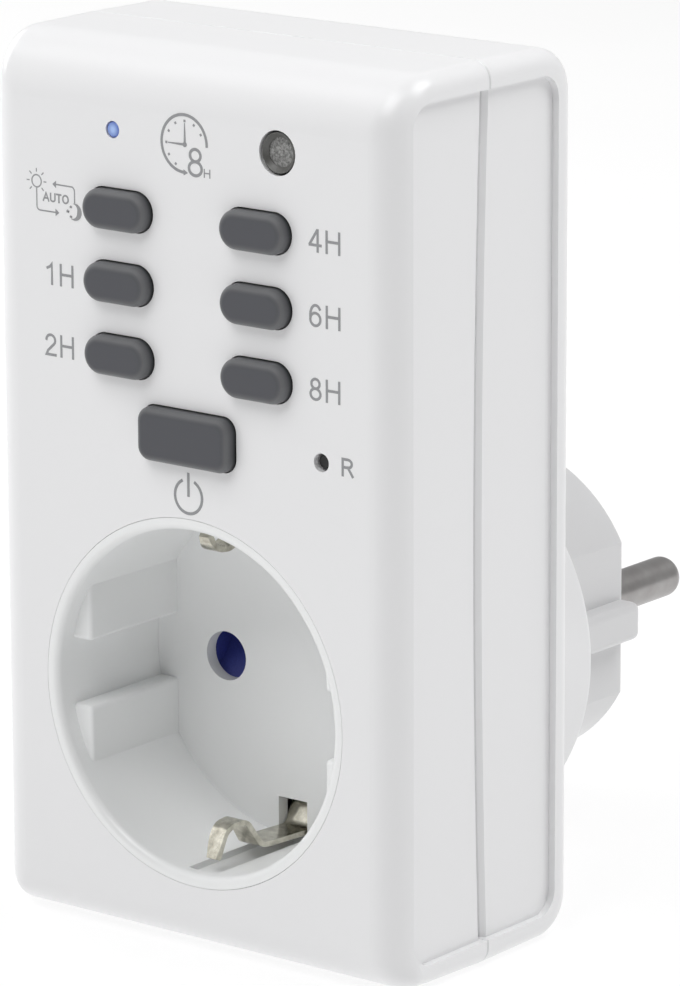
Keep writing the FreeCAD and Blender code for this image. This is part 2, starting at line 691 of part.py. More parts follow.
def plug_earth_strip():
    """The strip whose two legs lie in the recesses of the plug as its earth contacts."""
    end = PLUG_END - PLUG_EDGE_R
    path = [(end, -EARTH_LEG_Z), (PLUG_STRIP_DEPTH, -EARTH_LEG_Z)]
    path += [(PLUG_STRIP_DEPTH, EARTH_LEG_Z), (end, EARTH_LEG_Z)]
    half = EARTH_LEG_W / 2
    run = Vector(EARTH_LEG_W, 0, 0)
    bent = strip(path, STRIP_BEND_R, STRIP_T, lambda q: Vector(-half, at(q.x), q.y), run)
    return bent.cut(rod(RIVET_R + FIT_CLEAR, PLUG_STRIP_DEPTH - 2, PLUG_STRIP_DEPTH + 2))


def earth_rivet():
    front, back = STRAP_DEPTH - STRIP_T / 2, PLUG_STRIP_DEPTH + STRIP_T / 2
    rivet = rod(RIVET_R, front - RIVET_HEAD_T, back + RIVET_HEAD_T)
    rivet = rivet.fuse(rod(RIVET_HEAD_R, front - RIVET_HEAD_T, front))
    return rivet.fuse(rod(RIVET_HEAD_R, back, back + RIVET_HEAD_T))


def contact_carrier():
    """The moulding behind the well: a frame that guides the shutter, and two contact pockets."""
    inner_x, inner_top = SHUTTER_W / 2 + SLIDE_CLEAR, SHUTTER_ABOVE + SLIDE_CLEAR
    outer_x, front = inner_x + CARRIER_SIDE, FLOOR_BACK + FIT_CLEAR
    low, high = -CARRIER_BELOW - CARRIER_WALL, inner_top + CARRIER_WALL
    carrier = block(-outer_x, outer_x, front, CARRIER_BACK, low, high)
    room = block(-inner_x, inner_x, front - OVER, CARRIER_PLATE, -CARRIER_BELOW, inner_top)
    carrier = carrier.cut(room)
    for side in (-1, 1):
        x = side * PIN_X
        wide, tall = POCKET_X + CARRIER_WALL, POCKET_Z + CARRIER_WALL
        carrier = carrier.fuse(block(x - wide, x + wide, CARRIER_BACK, POCKET_END, -tall, tall))
        left, right = x - POCKET_X, x + POCKET_X
        carrier = carrier.cut(block(left, right, CARRIER_BACK, POCKET_END + OVER, -POCKET_Z, POCKET_Z))
        carrier = carrier.cut(rod(CARRIER_HOLE_R, CARRIER_PLATE - OVER, CARRIER_BACK + OVER, x))
        tail = x - side * TAIL_X
        reach = TAIL_W / 2 + MAT_CLEAR
        notch = LEAF_BASE - LEAF_T
        carrier = carrier.cut(block(tail - reach, tail + reach, notch, POCKET_END + OVER, 0, tall + OVER))
    return carrier.cut(rod(RIVET_HEAD_R + MAT_CLEAR, CARRIER_PLATE - OVER, CARRIER_BACK + OVER))


def shutter():
    """The sliding shutter: a ramp behind each pin hole, and above it a window that the pin enters."""
    half = SHUTTER_W / 2
    plate = block(-half, half, SHUTTER_FRONT, SHUTTER_BACK, -SHUTTER_BELOW, SHUTTER_ABOVE)
    ramp_end = SHUTTER_BACK - SHUTTER_WEB
    clear = SHUTTER_FRONT - OVER
    points = [(SHUTTER_FRONT, -WINDOW_R), (ramp_end, SHUTTER_TRAVEL - WINDOW_R)]
    points += [(ramp_end, SHUTTER_TRAVEL), (clear, SHUTTER_TRAVEL), (clear, -WINDOW_R)]
    for side in (-1, 1):
        x = side * PIN_X
        plate = plate.cut(prism_x(points, [0.0] * 5, x - WINDOW_R, x + WINDOW_R))
        plate = plate.cut(rod(WINDOW_R, SHUTTER_FRONT - OVER, SHUTTER_BACK + OVER, x, SHUTTER_TRAVEL))
    middle = (SHUTTER_FRONT + SHUTTER_BACK) / 2
    peg = Part.makeCylinder(SPRING_PEG_R, SPRING_PEG_L, Vector(0, at(middle), -SHUTTER_BELOW - SPRING_PEG_L))
    return plate.fuse(peg)


def shutter_spring():
    """The compression spring under the shutter, one unbroken coil of round wire."""
    middle = at((SHUTTER_FRONT + SHUTTER_BACK) / 2)
    low = -CARRIER_BELOW + SPRING_WIRE_R + FIT_CLEAR
    high = -SHUTTER_BELOW - SPRING_WIRE_R - FIT_CLEAR
    quarter, steps = math.pi / 2, 4 * SPRING_TURNS
    rise = (high - low) / steps

    def spot(step):
        angle = quarter * step
        return Vector(SPRING_R * math.cos(angle), middle + SPRING_R * math.sin(angle), low + rise * step)

    arcs = [Part.Arc(spot(i), spot(i + 0.5), spot(i + 1)).toShape() for i in range(steps)]
    path = Part.Wire(arcs)
    start = Vector(0, SPRING_R * quarter, rise).normalize()
    section = Part.Wire(Part.makeCircle(SPRING_WIRE_R, spot(0), start))
    return path.makePipeShell([section], True, False)


def socket_contact(side):
    """A leaf contact that grips a plug pin, with a tail for its lead."""
    x = side * PIN_X
    throat = PIN_R + LEAF_CLEAR + LEAF_T / 2
    right = [(LEAF_BASE_X, LEAF_BASE), (LEAF_BASE_X, LEAF_FROM + LEAF_L / 2)]
    right += [(throat, LEAF_FROM + LEAF_L / 4), (LEAF_MOUTH_X, LEAF_FROM)]
    path = [(-px, d) for px, d in right[::-1]] + right
    half = LEAF_H / 2
    run = Vector(0, 0, LEAF_H)
    leaves = strip(path, LEAF_BEND_R, LEAF_T, lambda q: Vector(x + q.x, at(q.y), -half), run)
    tail = x - side * TAIL_X
    reach = TAIL_W / 2
    d0, d1 = LEAF_BASE - LEAF_T / 2, LEAF_BASE + LEAF_T / 2
    return leaves.fuse(block(tail - reach, tail + reach, d0, d1, 0, TAIL_UP))


def plug_pin(side):
    x = side * PIN_X
    tip = PLUG_END + PIN_L
    shank = round_edges(rod(PIN_R, PLUG_END, tip, x), PIN_TIP_R, lambda edge: lies_at(edge, tip))
    neck = rod(PIN_NECK_R, STUB_END, PLUG_END, x)
    return shank.fuse(neck).fuse(rod(PIN_COLLAR_R, COLLAR_BACK - PIN_COLLAR_T, COLLAR_BACK, x))


def pin_retainer():
    """The plate that locks the pin collars against the end wall of the plug."""
    back = COLLAR_BACK - PIN_COLLAR_T - FIT_CLEAR
    front = back - RETAINER_T
    room_x = PLUG_FLAT - PLUG_WALL - FIT_CLEAR
    room_z = EARTH_RECESS_Z - EARTH_RECESS_WALL - FIT_CLEAR
    plate = rod(PLUG_R - PLUG_WALL - FIT_CLEAR, front, back)
    plate = plate.common(block(-room_x, room_x, front, back, -room_z, room_z))
    for side in (-1, 1):
        plate = plate.cut(rod(PIN_NECK_R + FIT_CLEAR, front - OVER, back + OVER, side * PIN_X))
    return plate


def neutral_link():
    """The brass link between the left pin and the left contact."""
    front = LEAF_BASE + LEAF_T / 2 + FIT_CLEAR + LEAF_T / 2
    back = STUB_END - FIT_CLEAR - LEAF_T / 2
    reach = LINK_H / 2
    path = [(front, -reach), (front, reach), (back, reach), (back, -reach)]
    x = -PIN_X - LINK_W / 2
    return strip(path, LEAF_BEND_R, LEAF_T, lambda q: Vector(x, at(q.x), q.y), Vector(LINK_W, 0, 0))


def wire_along(points):
    """A round insulated wire along straight runs joined by tangent arcs; points are (x, depth, z)."""
    spots = [Vector(x, at(depth), z) for x, depth, z in points]
    edges, start = [], spots[0]
    for i in range(1, len(spots) - 1):
        back, on = spots[i - 1] - spots[i], spots[i + 1] - spots[i]
        half = back.getAngle(on) / 2
        reach = 0.45 * min(back.Length, on.Length)
        radius = min(reach * math.tan(half), 4 * WIRE_R)
        reach = radius / math.tan(half)
        back.normalize()
        on.normalize()
        middle = (back + on).normalize()
        apex = spots[i] + middle * (radius / math.sin(half) - radius)
        enter, leave = spots[i] + back * reach, spots[i] + on * reach
        edges.append(Part.makeLine(start, enter))
        edges.append(Part.Arc(enter, apex, leave).toShape())
        start = leave
    edges.append(Part.makeLine(start, spots[-1]))
    section = Part.Wire(Part.makeCircle(WIRE_R, spots[0], spots[1] - spots[0]))
    return Part.Wire(edges).makePipeShell([section], True, False)


def live_in_wire():
    """The lead from the right pin up behind the relay to the board."""
    x, aside = PIN_X, PIN_X + LIVE_WIRE_ASIDE
    turn = LEAF_BASE + LIVE_WIRE_BACK
    rise = CASE_D - WALL - WIRE_R - WIRE_WALL_GAP
    points = [(x, STUB_END - FIT_CLEAR, 0), (x, turn, 0), (x + LIVE_WIRE_LEAN, turn, LIVE_WIRE_LOW)]
    top = BOARD_LOW + LIVE_WIRE_UP
    points += [(aside, rise, LIVE_WIRE_KNEE), (aside, rise, top)]
    return wire_along(points + [(aside, BOARD_BACK + FIT_CLEAR, top)])


def contact_wire(side):
    """The lead from a socket contact's tail to the board."""
    x, rise = side * (PIN_X - TAIL_X), CARRIER_PLATE
    top = BOARD_LOW + CONTACT_WIRE_UP
    points = [(x, LEAF_BASE, TAIL_UP + FIT_CLEAR), (x, LEAF_BASE, TAIL_UP + CONTACT_WIRE_LOW)]
    points += [(x, rise, TAIL_UP + CONTACT_WIRE_KNEE), (x, rise, top)]
    return wire_along(points + [(x, BOARD_BACK + FIT_CLEAR, top)])


def control_board():
    board = block(-BOARD_X, BOARD_X, BOARD_DEPTH, BOARD_BACK, BOARD_LOW, BOARD_HIGH)
    for x, z in BOARD_SCREWS:
        board = board.cut(rod(BOARD_SCREW_R + SCREW_CLEAR, BOARD_DEPTH - OVER, BOARD_BACK + OVER, x, z))
    for x, z in SCREW_SPOTS:
        board = board.cut(rod(POST_R + MAT_CLEAR, BOARD_DEPTH - OVER, BOARD_BACK + OVER, x, z))
    return board


def board_screws():
    screws = []
    for x, z in BOARD_SCREWS:
        seat = BOARD_BACK + FIT_CLEAR
        head = rod(BOARD_SCREW_HEAD_R, seat, seat + BOARD_SCREW_HEAD_T, x, z)
        screws.append(head.fuse(rod(BOARD_SCREW_R, BOARD_SCREW_TIP, seat, x, z)))
    return Part.makeCompound(screws)


def case_screws():
    """The four cross-recessed screws sunk in the back of the case."""
    screws = []
    for x, z in SCREW_SPOTS:
        seat = SCREW_HEAD_DEPTH + FIT_CLEAR
        top = seat + SCREW_HEAD_T
        screw = rod(SCREW_R, SCREW_TIP, seat, x, z).fuse(rod(SCREW_HEAD_R, seat, top, x, z))
        long, wide = SCREW_CROSS_L / 2, SCREW_CROSS_W / 2
        floor = top - SCREW_CROSS_T
        screw = screw.cut(block(x - long, x + long, floor, top + OVER, z - wide, z + wide))
        screws.append(screw.cut(block(x - wide, x + wide, floor, top + OVER, z - long, z + long)))
    return Part.makeCompound(screws)


def below_top(spot):
    """A place on the board, given across and down from the board's top edge."""
    return spot[0], BOARD_HIGH - spot[1]


def above_bottom(spot):
    """A place on the board, given across and up from the board's bottom edge."""
    return spot[0], BOARD_LOW + spot[1]


def on_board(size, spot, edge_radius):
    """A boxed component on the back of the board; size is (width, depth, height)."""
    width, depth, height = size
    x, z = spot
    start = BOARD_BACK + FIT_CLEAR
    body = block(x - width / 2, x + width / 2, start, start + depth, z - height / 2, z + height / 2)
    return body.makeFillet(edge_radius, body.Edges)


def electrolytic_capacitor():
    """An upright can with the crimp round its foot."""
    start = BOARD_BACK + FIT_CLEAR
    x, z = below_top(ELECTROLYTIC_AT)
    can = rod(ELECTROLYTIC_R, start, start + ELECTROLYTIC_L, x, z)
    can = can.makeFillet(BOX_EDGE_R, can.Edges)
    spot = Vector(x, at(start + CRIMP_UP), z)
    ring = ELECTROLYTIC_R + CRIMP_R - CRIMP_SINK
    return can.cut(Part.makeTorus(ring, CRIMP_R, spot, Vector(0, 1, 0)))


def varistor():
    """A dipped disc standing on its two leads."""
    x, z = below_top(VARISTOR_AT)
    start = BOARD_BACK + FIT_CLEAR
    middle = start + VARISTOR_UP + VARISTOR_R
    spot = Vector(x - VARISTOR_T / 2, at(middle), z)
    disc = Part.makeCylinder(VARISTOR_R, VARISTOR_T, spot, Vector(1, 0, 0))
    disc = disc.makeFillet(VARISTOR_EDGE_R, disc.Edges)
    for side in (-1, 1):
        disc = disc.fuse(rod(LEAD_R, start, middle, x + side * LEAD_X, z + side * LEAD_Z))
    return disc


def fuse_can():
    start = BOARD_BACK + FIT_CLEAR
    can = rod(FUSE_R, start, start + FUSE_L, *above_bottom(FUSE_AT))
    return can.makeFillet(FUSE_EDGE_R, can.Edges)


def key_depths():
    """The depths of a key's skirt, foot and contact pad at rest."""
    skirt = WALL + KEY_SKIRT_GAP
    foot = BOARD_DEPTH - KEY_TRAVEL - PAD_CLEAR - PAD_T - PAD_CLEAR
    return skirt, skirt + KEY_SKIRT_T, foot


def key(width, height, radius, x, z):
    """A key cap with a rounded front edge, a skirt behind the panel and a foot above the board."""
    skirt, skirt_end, foot = key_depths()
    cap = rounded_bar(width, height, radius, -KEY_PROUD, skirt_end, x, z)
    cap = round_edges(cap, KEY_EDGE_R, lambda edge: lies_at(edge, -KEY_PROUD))
    grow = 2 * KEY_SKIRT
    cap = cap.fuse(rounded_bar(width + grow, height + grow, radius + KEY_SKIRT, skirt, skirt_end, x, z))
    shrink = 2 * KEY_FOOT
    low = rounded_bar(width - shrink, height - shrink, radius - KEY_FOOT, skirt_end, foot, x, z)
    return cap.fuse(low)


def key_pad(spots):
    """The carbon pads under a key, which bridge the tracks of the board."""
    skirt, skirt_end, foot = key_depths()
    start = foot + PAD_CLEAR
    return Part.makeCompound([rod(PAD_R, start, start + PAD_T, x, z) for x, z in spots])


def keypad_mat():
    """The rubber mat on the board, open under each key where its thin web flexes."""
    half, narrow = KEY_COLUMN + KEY_W / 2 + MAT_MARGIN, POWER_W / 2 + MAT_MARGIN
    low, high = KEY_BOTTOM - KEY_H / 2 - MAT_MARGIN, KEY_TOP + KEY_H / 2 + MAT_MARGIN
    front, back = BOARD_DEPTH - MAT_T, BOARD_DEPTH - FIT_CLEAR
    mat = block(KEY_ASIDE - half, KEY_ASIDE + half, front, back, low, high)
    mat = mat.fuse(block(-narrow, narrow, front, back, POWER_Z - POWER_H / 2 - MAT_MARGIN, low + OVER))
    grow = 2 * (MAT_CLEAR - KEY_FOOT)
    holes = [(KEY_W, KEY_H, KEY_H / 2, x, z) for x, z in SMALL_KEYS.values()]
    holes.append((POWER_W, POWER_H, POWER_R, 0, POWER_Z))
    for width, height, radius, x, z in holes:
        mat = mat.cut(rounded_bar(width + grow, height + grow, radius, front - OVER, back + OVER, x, z))
    return mat


def reset_switch():
    """The push switch on the board, hollow so that the plunger's collar can travel in it."""
    x, z = RESET_AT
    half = RESET_BODY / 2
    front = BOARD_DEPTH - RESET_BODY_T
    body = block(x - half, x + half, front, BOARD_DEPTH, z - half, z + half)
    cover_end = front + RESET_COVER
    body = body.cut(rod(RESET_R + FIT_CLEAR, front - OVER, cover_end + FIT_CLEAR, x, z))
    chamber_end = cover_end + RESET_COLLAR_T + RESET_TRAVEL + 2 * FIT_CLEAR
    return body.cut(rod(RESET_COLLAR_R + FIT_CLEAR, cover_end, chamber_end, x, z))


def reset_plunger():
    x, z = RESET_AT
    collar = BOARD_DEPTH - RESET_BODY_T + RESET_COVER + FIT_CLEAR
    stem = rod(RESET_R, RESET_SINK, collar + RESET_COLLAR_T, x, z)
    stem = round_edges(stem, RESET_R / 4, lambda edge: lies_at(edge, RESET_SINK))
    return stem.fuse(rod(RESET_COLLAR_R, collar, collar + RESET_COLLAR_T, x, z))


def light_pipe():
    """The clear guide that brings the status light to the front."""
    x, z = LAMP_AT
    pipe = rod(LAMP_R - FIT_CLEAR, FIT_CLEAR, BOARD_DEPTH - LED_T - 2 * FIT_CLEAR, x, z)
    pipe = round_edges(pipe, LAMP_R / 3, lambda edge: lies_at(edge, FIT_CLEAR))
    start = WALL + FIT_CLEAR
    return pipe.fuse(rod(LAMP_FLANGE_R, start, start + LAMP_FLANGE_T, x, z))


def status_led():
    x, z = LAMP_AT
    front, back = BOARD_DEPTH - FIT_CLEAR - LED_T, BOARD_DEPTH - FIT_CLEAR
    return block(x - LED_W / 2, x + LED_W / 2, front, back, z - LED_H / 2, z + LED_H / 2)


def sensor_holder():
    outer = SENSOR_R - FIT_CLEAR
    tube = rod(outer, 2 * FIT_CLEAR, BOARD_DEPTH - FIT_CLEAR, *SENSOR_AT)
    return tube.cut(rod(outer - SENSOR_WALL, -OVER, BOARD_DEPTH, *SENSOR_AT))


def light_sensor():
    radius = SENSOR_R - 2 * FIT_CLEAR - SENSOR_WALL
    middle = SENSOR_SINK + SENSOR_T / 2
    disc = rod(radius, SENSOR_SINK, SENSOR_SINK + SENSOR_T, *SENSOR_AT)
    disc = round_edges(disc, SENSOR_EDGE_R, lambda edge: lies_at(edge, SENSOR_SINK))
    x, z = SENSOR_AT
    for side in (-1, 1):
        lead = rod(SENSOR_LEAD_R, middle, BOARD_DEPTH - FIT_CLEAR, x + side * SENSOR_LEAD_X, z)
        disc = disc.fuse(lead)
    return disc


def model():
    """Every piece by name."""
    parts = {
        "front_shell": front_shell(),
        "rear_shell": rear_shell(),
        "socket_well": socket_well(),
        "contact_carrier": contact_carrier(),
        "shutter": shutter(),
        "shutter_spring": shutter_spring(),
        "earth_clips": earth_clips(),
        "plug_earth_strip": plug_earth_strip(),
        "earth_rivet": earth_rivet(),
        "live_contact": socket_contact(1),
        "neutral_contact": socket_contact(-1),
        "live_pin": plug_pin(1),
        "neutral_pin": plug_pin(-1),
        "pin_retainer": pin_retainer(),
        "neutral_link": neutral_link(),
        "live_in_wire": live_in_wire(),
        "live_out_wire": contact_wire(1),
        "neutral_wire": contact_wire(-1),
        "control_board": control_board(),
        "board_screws": board_screws(),
        "case_screws": case_screws(),
        "relay": on_board(RELAY, below_top(RELAY_AT), BOX_EDGE_R),
        "film_capacitor": on_board(FILM_CAPACITOR, below_top(FILM_CAPACITOR_AT), BOX_EDGE_R),
        "electrolytic_capacitor": electrolytic_capacitor(),
        "varistor": varistor(),
        "fuse": fuse_can(),
        "controller_chip": on_board(CHIP, above_bottom(CHIP_AT), CHIP_EDGE_R),
        "keypad_mat": keypad_mat(),
        "power_key": key(POWER_W, POWER_H, POWER_R, 0, POWER_Z),
        "power_key_pads": key_pad([(-POWER_W / 4, POWER_Z), (POWER_W / 4, POWER_Z)]),
        "reset_switch": reset_switch(),
        "reset_plunger": reset_plunger(),
        "light_pipe": light_pipe(),
        "status_led": status_led(),
        "sensor_holder": sensor_holder(),
        "light_sensor": light_sensor(),
    }
    for label, (x, z) in SMALL_KEYS.items():
        parts["key_" + label] = key(KEY_W, KEY_H, KEY_H / 2, x, z)
        parts["pad_" + label] = key_pad([(x, z)])
    return parts


os.makedirs("parts", exist_ok=True)
for name, shape in model().items():
    shape.exportStep("parts/" + name + ".step")
    solids = len(shape.Solids)
    print(name, "valid" if shape.isValid() else "INVALID", solids, round(shape.Volume, 2))
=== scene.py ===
"""A plug-in countdown timer: finishes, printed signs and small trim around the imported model."""

import json
import math

import bmesh
import bpy
from mathutils import Euler, Matrix, Vector


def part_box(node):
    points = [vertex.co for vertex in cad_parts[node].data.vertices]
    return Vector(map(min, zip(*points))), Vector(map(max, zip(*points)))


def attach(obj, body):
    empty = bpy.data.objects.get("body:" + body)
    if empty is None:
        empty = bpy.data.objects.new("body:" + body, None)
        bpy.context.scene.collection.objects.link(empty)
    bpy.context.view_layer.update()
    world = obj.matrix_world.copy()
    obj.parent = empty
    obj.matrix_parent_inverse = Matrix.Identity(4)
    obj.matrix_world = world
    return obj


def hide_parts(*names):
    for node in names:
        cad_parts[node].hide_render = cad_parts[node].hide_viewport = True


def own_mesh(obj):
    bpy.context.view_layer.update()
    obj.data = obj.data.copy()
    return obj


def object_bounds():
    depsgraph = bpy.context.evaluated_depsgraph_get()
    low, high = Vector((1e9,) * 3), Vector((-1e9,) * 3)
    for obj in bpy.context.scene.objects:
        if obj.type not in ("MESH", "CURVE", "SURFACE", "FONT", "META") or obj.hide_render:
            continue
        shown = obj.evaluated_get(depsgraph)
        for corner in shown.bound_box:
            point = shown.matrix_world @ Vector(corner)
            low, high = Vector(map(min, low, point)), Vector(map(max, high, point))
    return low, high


MM = 0.001
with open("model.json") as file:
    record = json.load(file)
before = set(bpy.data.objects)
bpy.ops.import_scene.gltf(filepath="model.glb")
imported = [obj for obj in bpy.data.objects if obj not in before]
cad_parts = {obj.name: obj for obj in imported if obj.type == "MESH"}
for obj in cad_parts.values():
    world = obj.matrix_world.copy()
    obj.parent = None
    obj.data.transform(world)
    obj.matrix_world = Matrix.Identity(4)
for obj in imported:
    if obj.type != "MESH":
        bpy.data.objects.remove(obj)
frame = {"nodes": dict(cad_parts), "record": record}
cad_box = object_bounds()
nodes = frame["nodes"]

# The front of the case, which carries the signs, and the faces of the keys, which stand out of it
FRONT_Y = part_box("front_shell")[0].y
KEYS_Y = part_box("key_1h")[0].y

# How far behind the front the base disc ends and the plug begins
DISC_END = 40.92 * MM


# Colours and shader building

# Most of a noise value lies between these two
NOISE_LOW, NOISE_HIGH = 0.3, 0.7
# Sockets of a Mix node for colours, taken by number because their names repeat
MIX_SHARE, MIX_FIRST, MIX_SECOND, MIX_RESULT = 0, 6, 7, 2


def shade(hex_code):
    """An sRGB hex colour as the linear colour that a socket takes."""
    parts = [int(hex_code[i:i + 2], 16) / 255 for i in (0, 2, 4)]
    return tuple(c / 12.92 if c <= 0.04045 else ((c + 0.055) / 1.055) ** 2.4 for c in parts) + (1.0,)


def add(tree, kind, links=None, **settings):
    """Adds a node; links gives each input a value or the output that feeds it."""
    node = tree.nodes.new(kind)
    for name, value in settings.items():
        setattr(node, name, value)
    for name, value in (links or {}).items():
        socket = node.inputs[name]
        if isinstance(value, bpy.types.NodeSocket):
            tree.links.new(value, socket)
        else:
            socket.default_value = value
    return node


def finish_named(name):
    """A material with a Principled shader, its tree and its Object coordinates."""
    material = bpy.data.materials.new(name)
    material.use_nodes = True
    tree = material.node_tree
    shader = tree.nodes["Principled BSDF"]
    place = add(tree, "ShaderNodeTexCoord").outputs["Object"]
    return material, tree, shader, place


def set_surface(shader, **values):
    """Sets what is the same all over a surface on the shader's own sockets."""
    for name, value in values.items():
        shader.inputs[name.replace("_", " ")].default_value = value


def pattern(tree, place, size, detail=3.0, rough=0.55, run=(1, 1, 1)):
    """Noise with blotches about size across, in metres, drawn out along the axes where run is small."""
    drawn_out = add(tree, "ShaderNodeMapping", {"Vector": place, "Scale": run}).outputs["Vector"]
    links = {"Vector": drawn_out, "Scale": 1 / size, "Detail": detail, "Roughness": rough}
    return add(tree, "ShaderNodeTexNoise", links).outputs["Fac"]


def between(tree, value, first, second, most=1.0):
    """Two colours, each a hex code or a socket, mixed by a pattern; most is the second's largest share."""
    first, second = (shade(tone) if isinstance(tone, str) else tone for tone in (first, second))
    links = {"Value": value, "From Min": NOISE_LOW, "From Max": NOISE_HIGH, "To Max": most}
    share = add(tree, "ShaderNodeMapRange", links).outputs["Result"]
    links = {MIX_SHARE: share, MIX_FIRST: first, MIX_SECOND: second}
    return add(tree, "ShaderNodeMix", links, data_type="RGBA").outputs[MIX_RESULT]


def gloss(tree, shader, value, low, high):
    """A roughness from low to high that follows a pattern."""
    links = {"Value": value, "From Min": NOISE_LOW, "From Max": NOISE_HIGH, "To Min": low, "To Max": high}
    followed = add(tree, "ShaderNodeMapRange", links).outputs["Result"]
    tree.links.new(followed, shader.inputs["Roughness"])


def relief(tree, shader, height, depth, strength):
    """A bump of a real depth in metres that follows a pattern."""
    bump = add(tree, "ShaderNodeBump", {"Height": height, "Distance": depth, "Strength": strength})
    tree.links.new(bump.outputs["Normal"], shader.inputs["Normal"])


def depth_share(tree, place, start, end):
    """0 in front of start along Y and 1 behind end, growing evenly between the two."""
    along = add(tree, "ShaderNodeSeparateXYZ", {"Vector": place}).outputs["Y"]
    links = {"Value": along, "From Min": start, "From Max": end}
    return add(tree, "ShaderNodeMapRange", links).outputs["Result"]


def by_depth(tree, place, front, stops):
    """A colour that changes with the depth behind a front along Y; stops are (depth, hex)."""
    deepest = stops[-1][0]
    ramp = add(tree, "ShaderNodeValToRGB", {"Fac": depth_share(tree, place, front, front + deepest)})
    while len(ramp.color_ramp.elements) < len(stops):
        ramp.color_ramp.elements.new(0.5)
    for element, (depth, tone) in zip(ramp.color_ramp.elements, stops):
        element.position, element.color = depth / deepest, shade(tone)
    return ramp.outputs["Color"]


# Finishes, each named after the real material and how it was made

# The depth over which the case's white gives way to the plug's painted shade, too short to show as a blend
PLUG_SHADE_BORDER = 0.01 * MM


def moulded_abs():
    """Glossy white ABS: an even tint, a soft gloss and the faint flow of an injection moulding.

    The plug, behind its disc, is painted a greyer white: painted shade where the case keeps the light off
    it.
    """
    material, tree, shader, place = finish_named("moulded_white_abs")
    flow = pattern(tree, place, 60 * MM, 1.0)
    skin = pattern(tree, place, 5 * MM, 1.0)
    # Painted shade: behind the disc the white turns greyer
    plug_painted_shade = depth_share(tree, place, FRONT_Y + DISC_END, FRONT_Y + DISC_END + PLUG_SHADE_BORDER)
    white = between(tree, flow, "EEEEEF", "EFEFF0")
    links = {MIX_SHARE: plug_painted_shade, MIX_FIRST: white, MIX_SECOND: shade("DCDCDD")}
    tint = add(tree, "ShaderNodeMix", links, data_type="RGBA").outputs[MIX_RESULT]
    tree.links.new(tint, shader.inputs["Base Color"])
    gloss(tree, shader, flow, 0.28, 0.3)
    set_surface(shader, IOR=1.54)
    relief(tree, shader, skin, 0.002 * MM, 0.4)
    return material


def moulded_polycarbonate():
    """Satin polycarbonate of the socket well: a slightly cooler white than the case, made lighter than it as
    painted light against the shade in the well.
    """
    material, tree, shader, place = finish_named("moulded_white_polycarbonate")
    flow = pattern(tree, place, 40 * MM, 1.0)
    skin = pattern(tree, place, 4 * MM, 1.0)
    # Painted light: a lighter white than the case's, to offset the shade in the well
    tree.links.new(between(tree, flow, "F1F2F2", "F3F4F4"), shader.inputs["Base Color"])
    gloss(tree, shader, flow, 0.3, 0.34)
    set_surface(shader, IOR=1.58)
    relief(tree, shader, skin, 0.002 * MM, 0.4)
    return material


# Painted highlight and painted shade of a key by the depth behind its face, in metres: paler on its rounded
# edge, darker towards the case
KEY_PAINTED_LIGHT_TONES = [
    (0.0, "505156"), (0.05 * MM, "595A5D"), (0.2 * MM, "6C6D6F"), (0.42 * MM, "6E6F71"),
    (0.85 * MM, "5C5D60"), (1.25 * MM, "434447"), (1.55 * MM, "262628"),
]


def silicone_rubber():
    """Dark grey moulded silicone: matt, with a painted highlight along its rounded edges and painted shade
    where it enters the case.

    The dust on it is drawn coarser than it is, so that it shows.
    """
    material, tree, shader, place = finish_named("moulded_grey_silicone")
    dust = pattern(tree, place, 0.16 * MM, 4.0, 0.7)
    # Painted highlight on the rounded edges and painted shade towards the case, by the depth behind the face
    painted_edge_light_and_base_shade = by_depth(tree, place, KEYS_Y, KEY_PAINTED_LIGHT_TONES)
    tree.links.new(between(tree, dust, painted_edge_light_and_base_shade, "5C5D60", most=0.12), shader.inputs["Base Color"])
    gloss(tree, shader, dust, 0.46, 0.6)
    set_surface(shader, IOR=1.41, Sheen_Weight=0.25, Sheen_Roughness=0.35)
    relief(tree, shader, dust, 0.006 * MM, 0.6)
    return material


def nickel_plated_strip():
    """Stamped bronze strip under bright nickel: a warm metal whose bent skin breaks its reflections up.

    The lines of the rolling mill are drawn coarser than they are, so that they show.
    """
    material, tree, shader, place = finish_named("nickel_plated_bronze")
    lines = pattern(tree, place, 0.16 * MM, run=(1, 0.12, 0.12))
    crease = pattern(tree, place, 1.1 * MM)
    tree.links.new(between(tree, crease, "A9A598", "D9D6C9"), shader.inputs["Base Color"])
    gloss(tree, shader, lines, 0.18, 0.26)
    set_surface(shader, Metallic=1.0)
    relief(tree, shader, crease, 0.07 * MM, 0.6)
    return material


def nickel_plated_pin():
    """Turned brass under nickel: grey metal with the rings of the lathe, drawn coarse enough to show."""
    material, tree, shader, place = finish_named("nickel_plated_brass")
    rings = pattern(tree, place, 0.14 * MM, run=(0.05, 1, 0.05))
    cloud = pattern(tree, place, 2.2 * MM, 2.0)
    tree.links.new(between(tree, cloud, "9D9A99", "A8A6A5"), shader.inputs["Base Color"])
    gloss(tree, shader, rings, 0.28, 0.34)
    set_surface(shader, Metallic=1.0)
    relief(tree, shader, rings, 0.004 * MM, 0.5)
    return material


def plain_moulding(name, first, second, rough, ior):
    """A small moulded piece: two close tints, one gloss, and fine pits drawn coarse enough to show."""
    material, tree, shader, place = finish_named(name)
    pores = pattern(tree, place, 0.2 * MM)
    tree.links.new(between(tree, pores, first, second), shader.inputs["Base Color"])
    gloss(tree, shader, pores, rough - 0.05, rough + 0.05)
    set_surface(shader, IOR=ior)
    relief(tree, shader, pores, 0.003 * MM, 0.5)
    return material


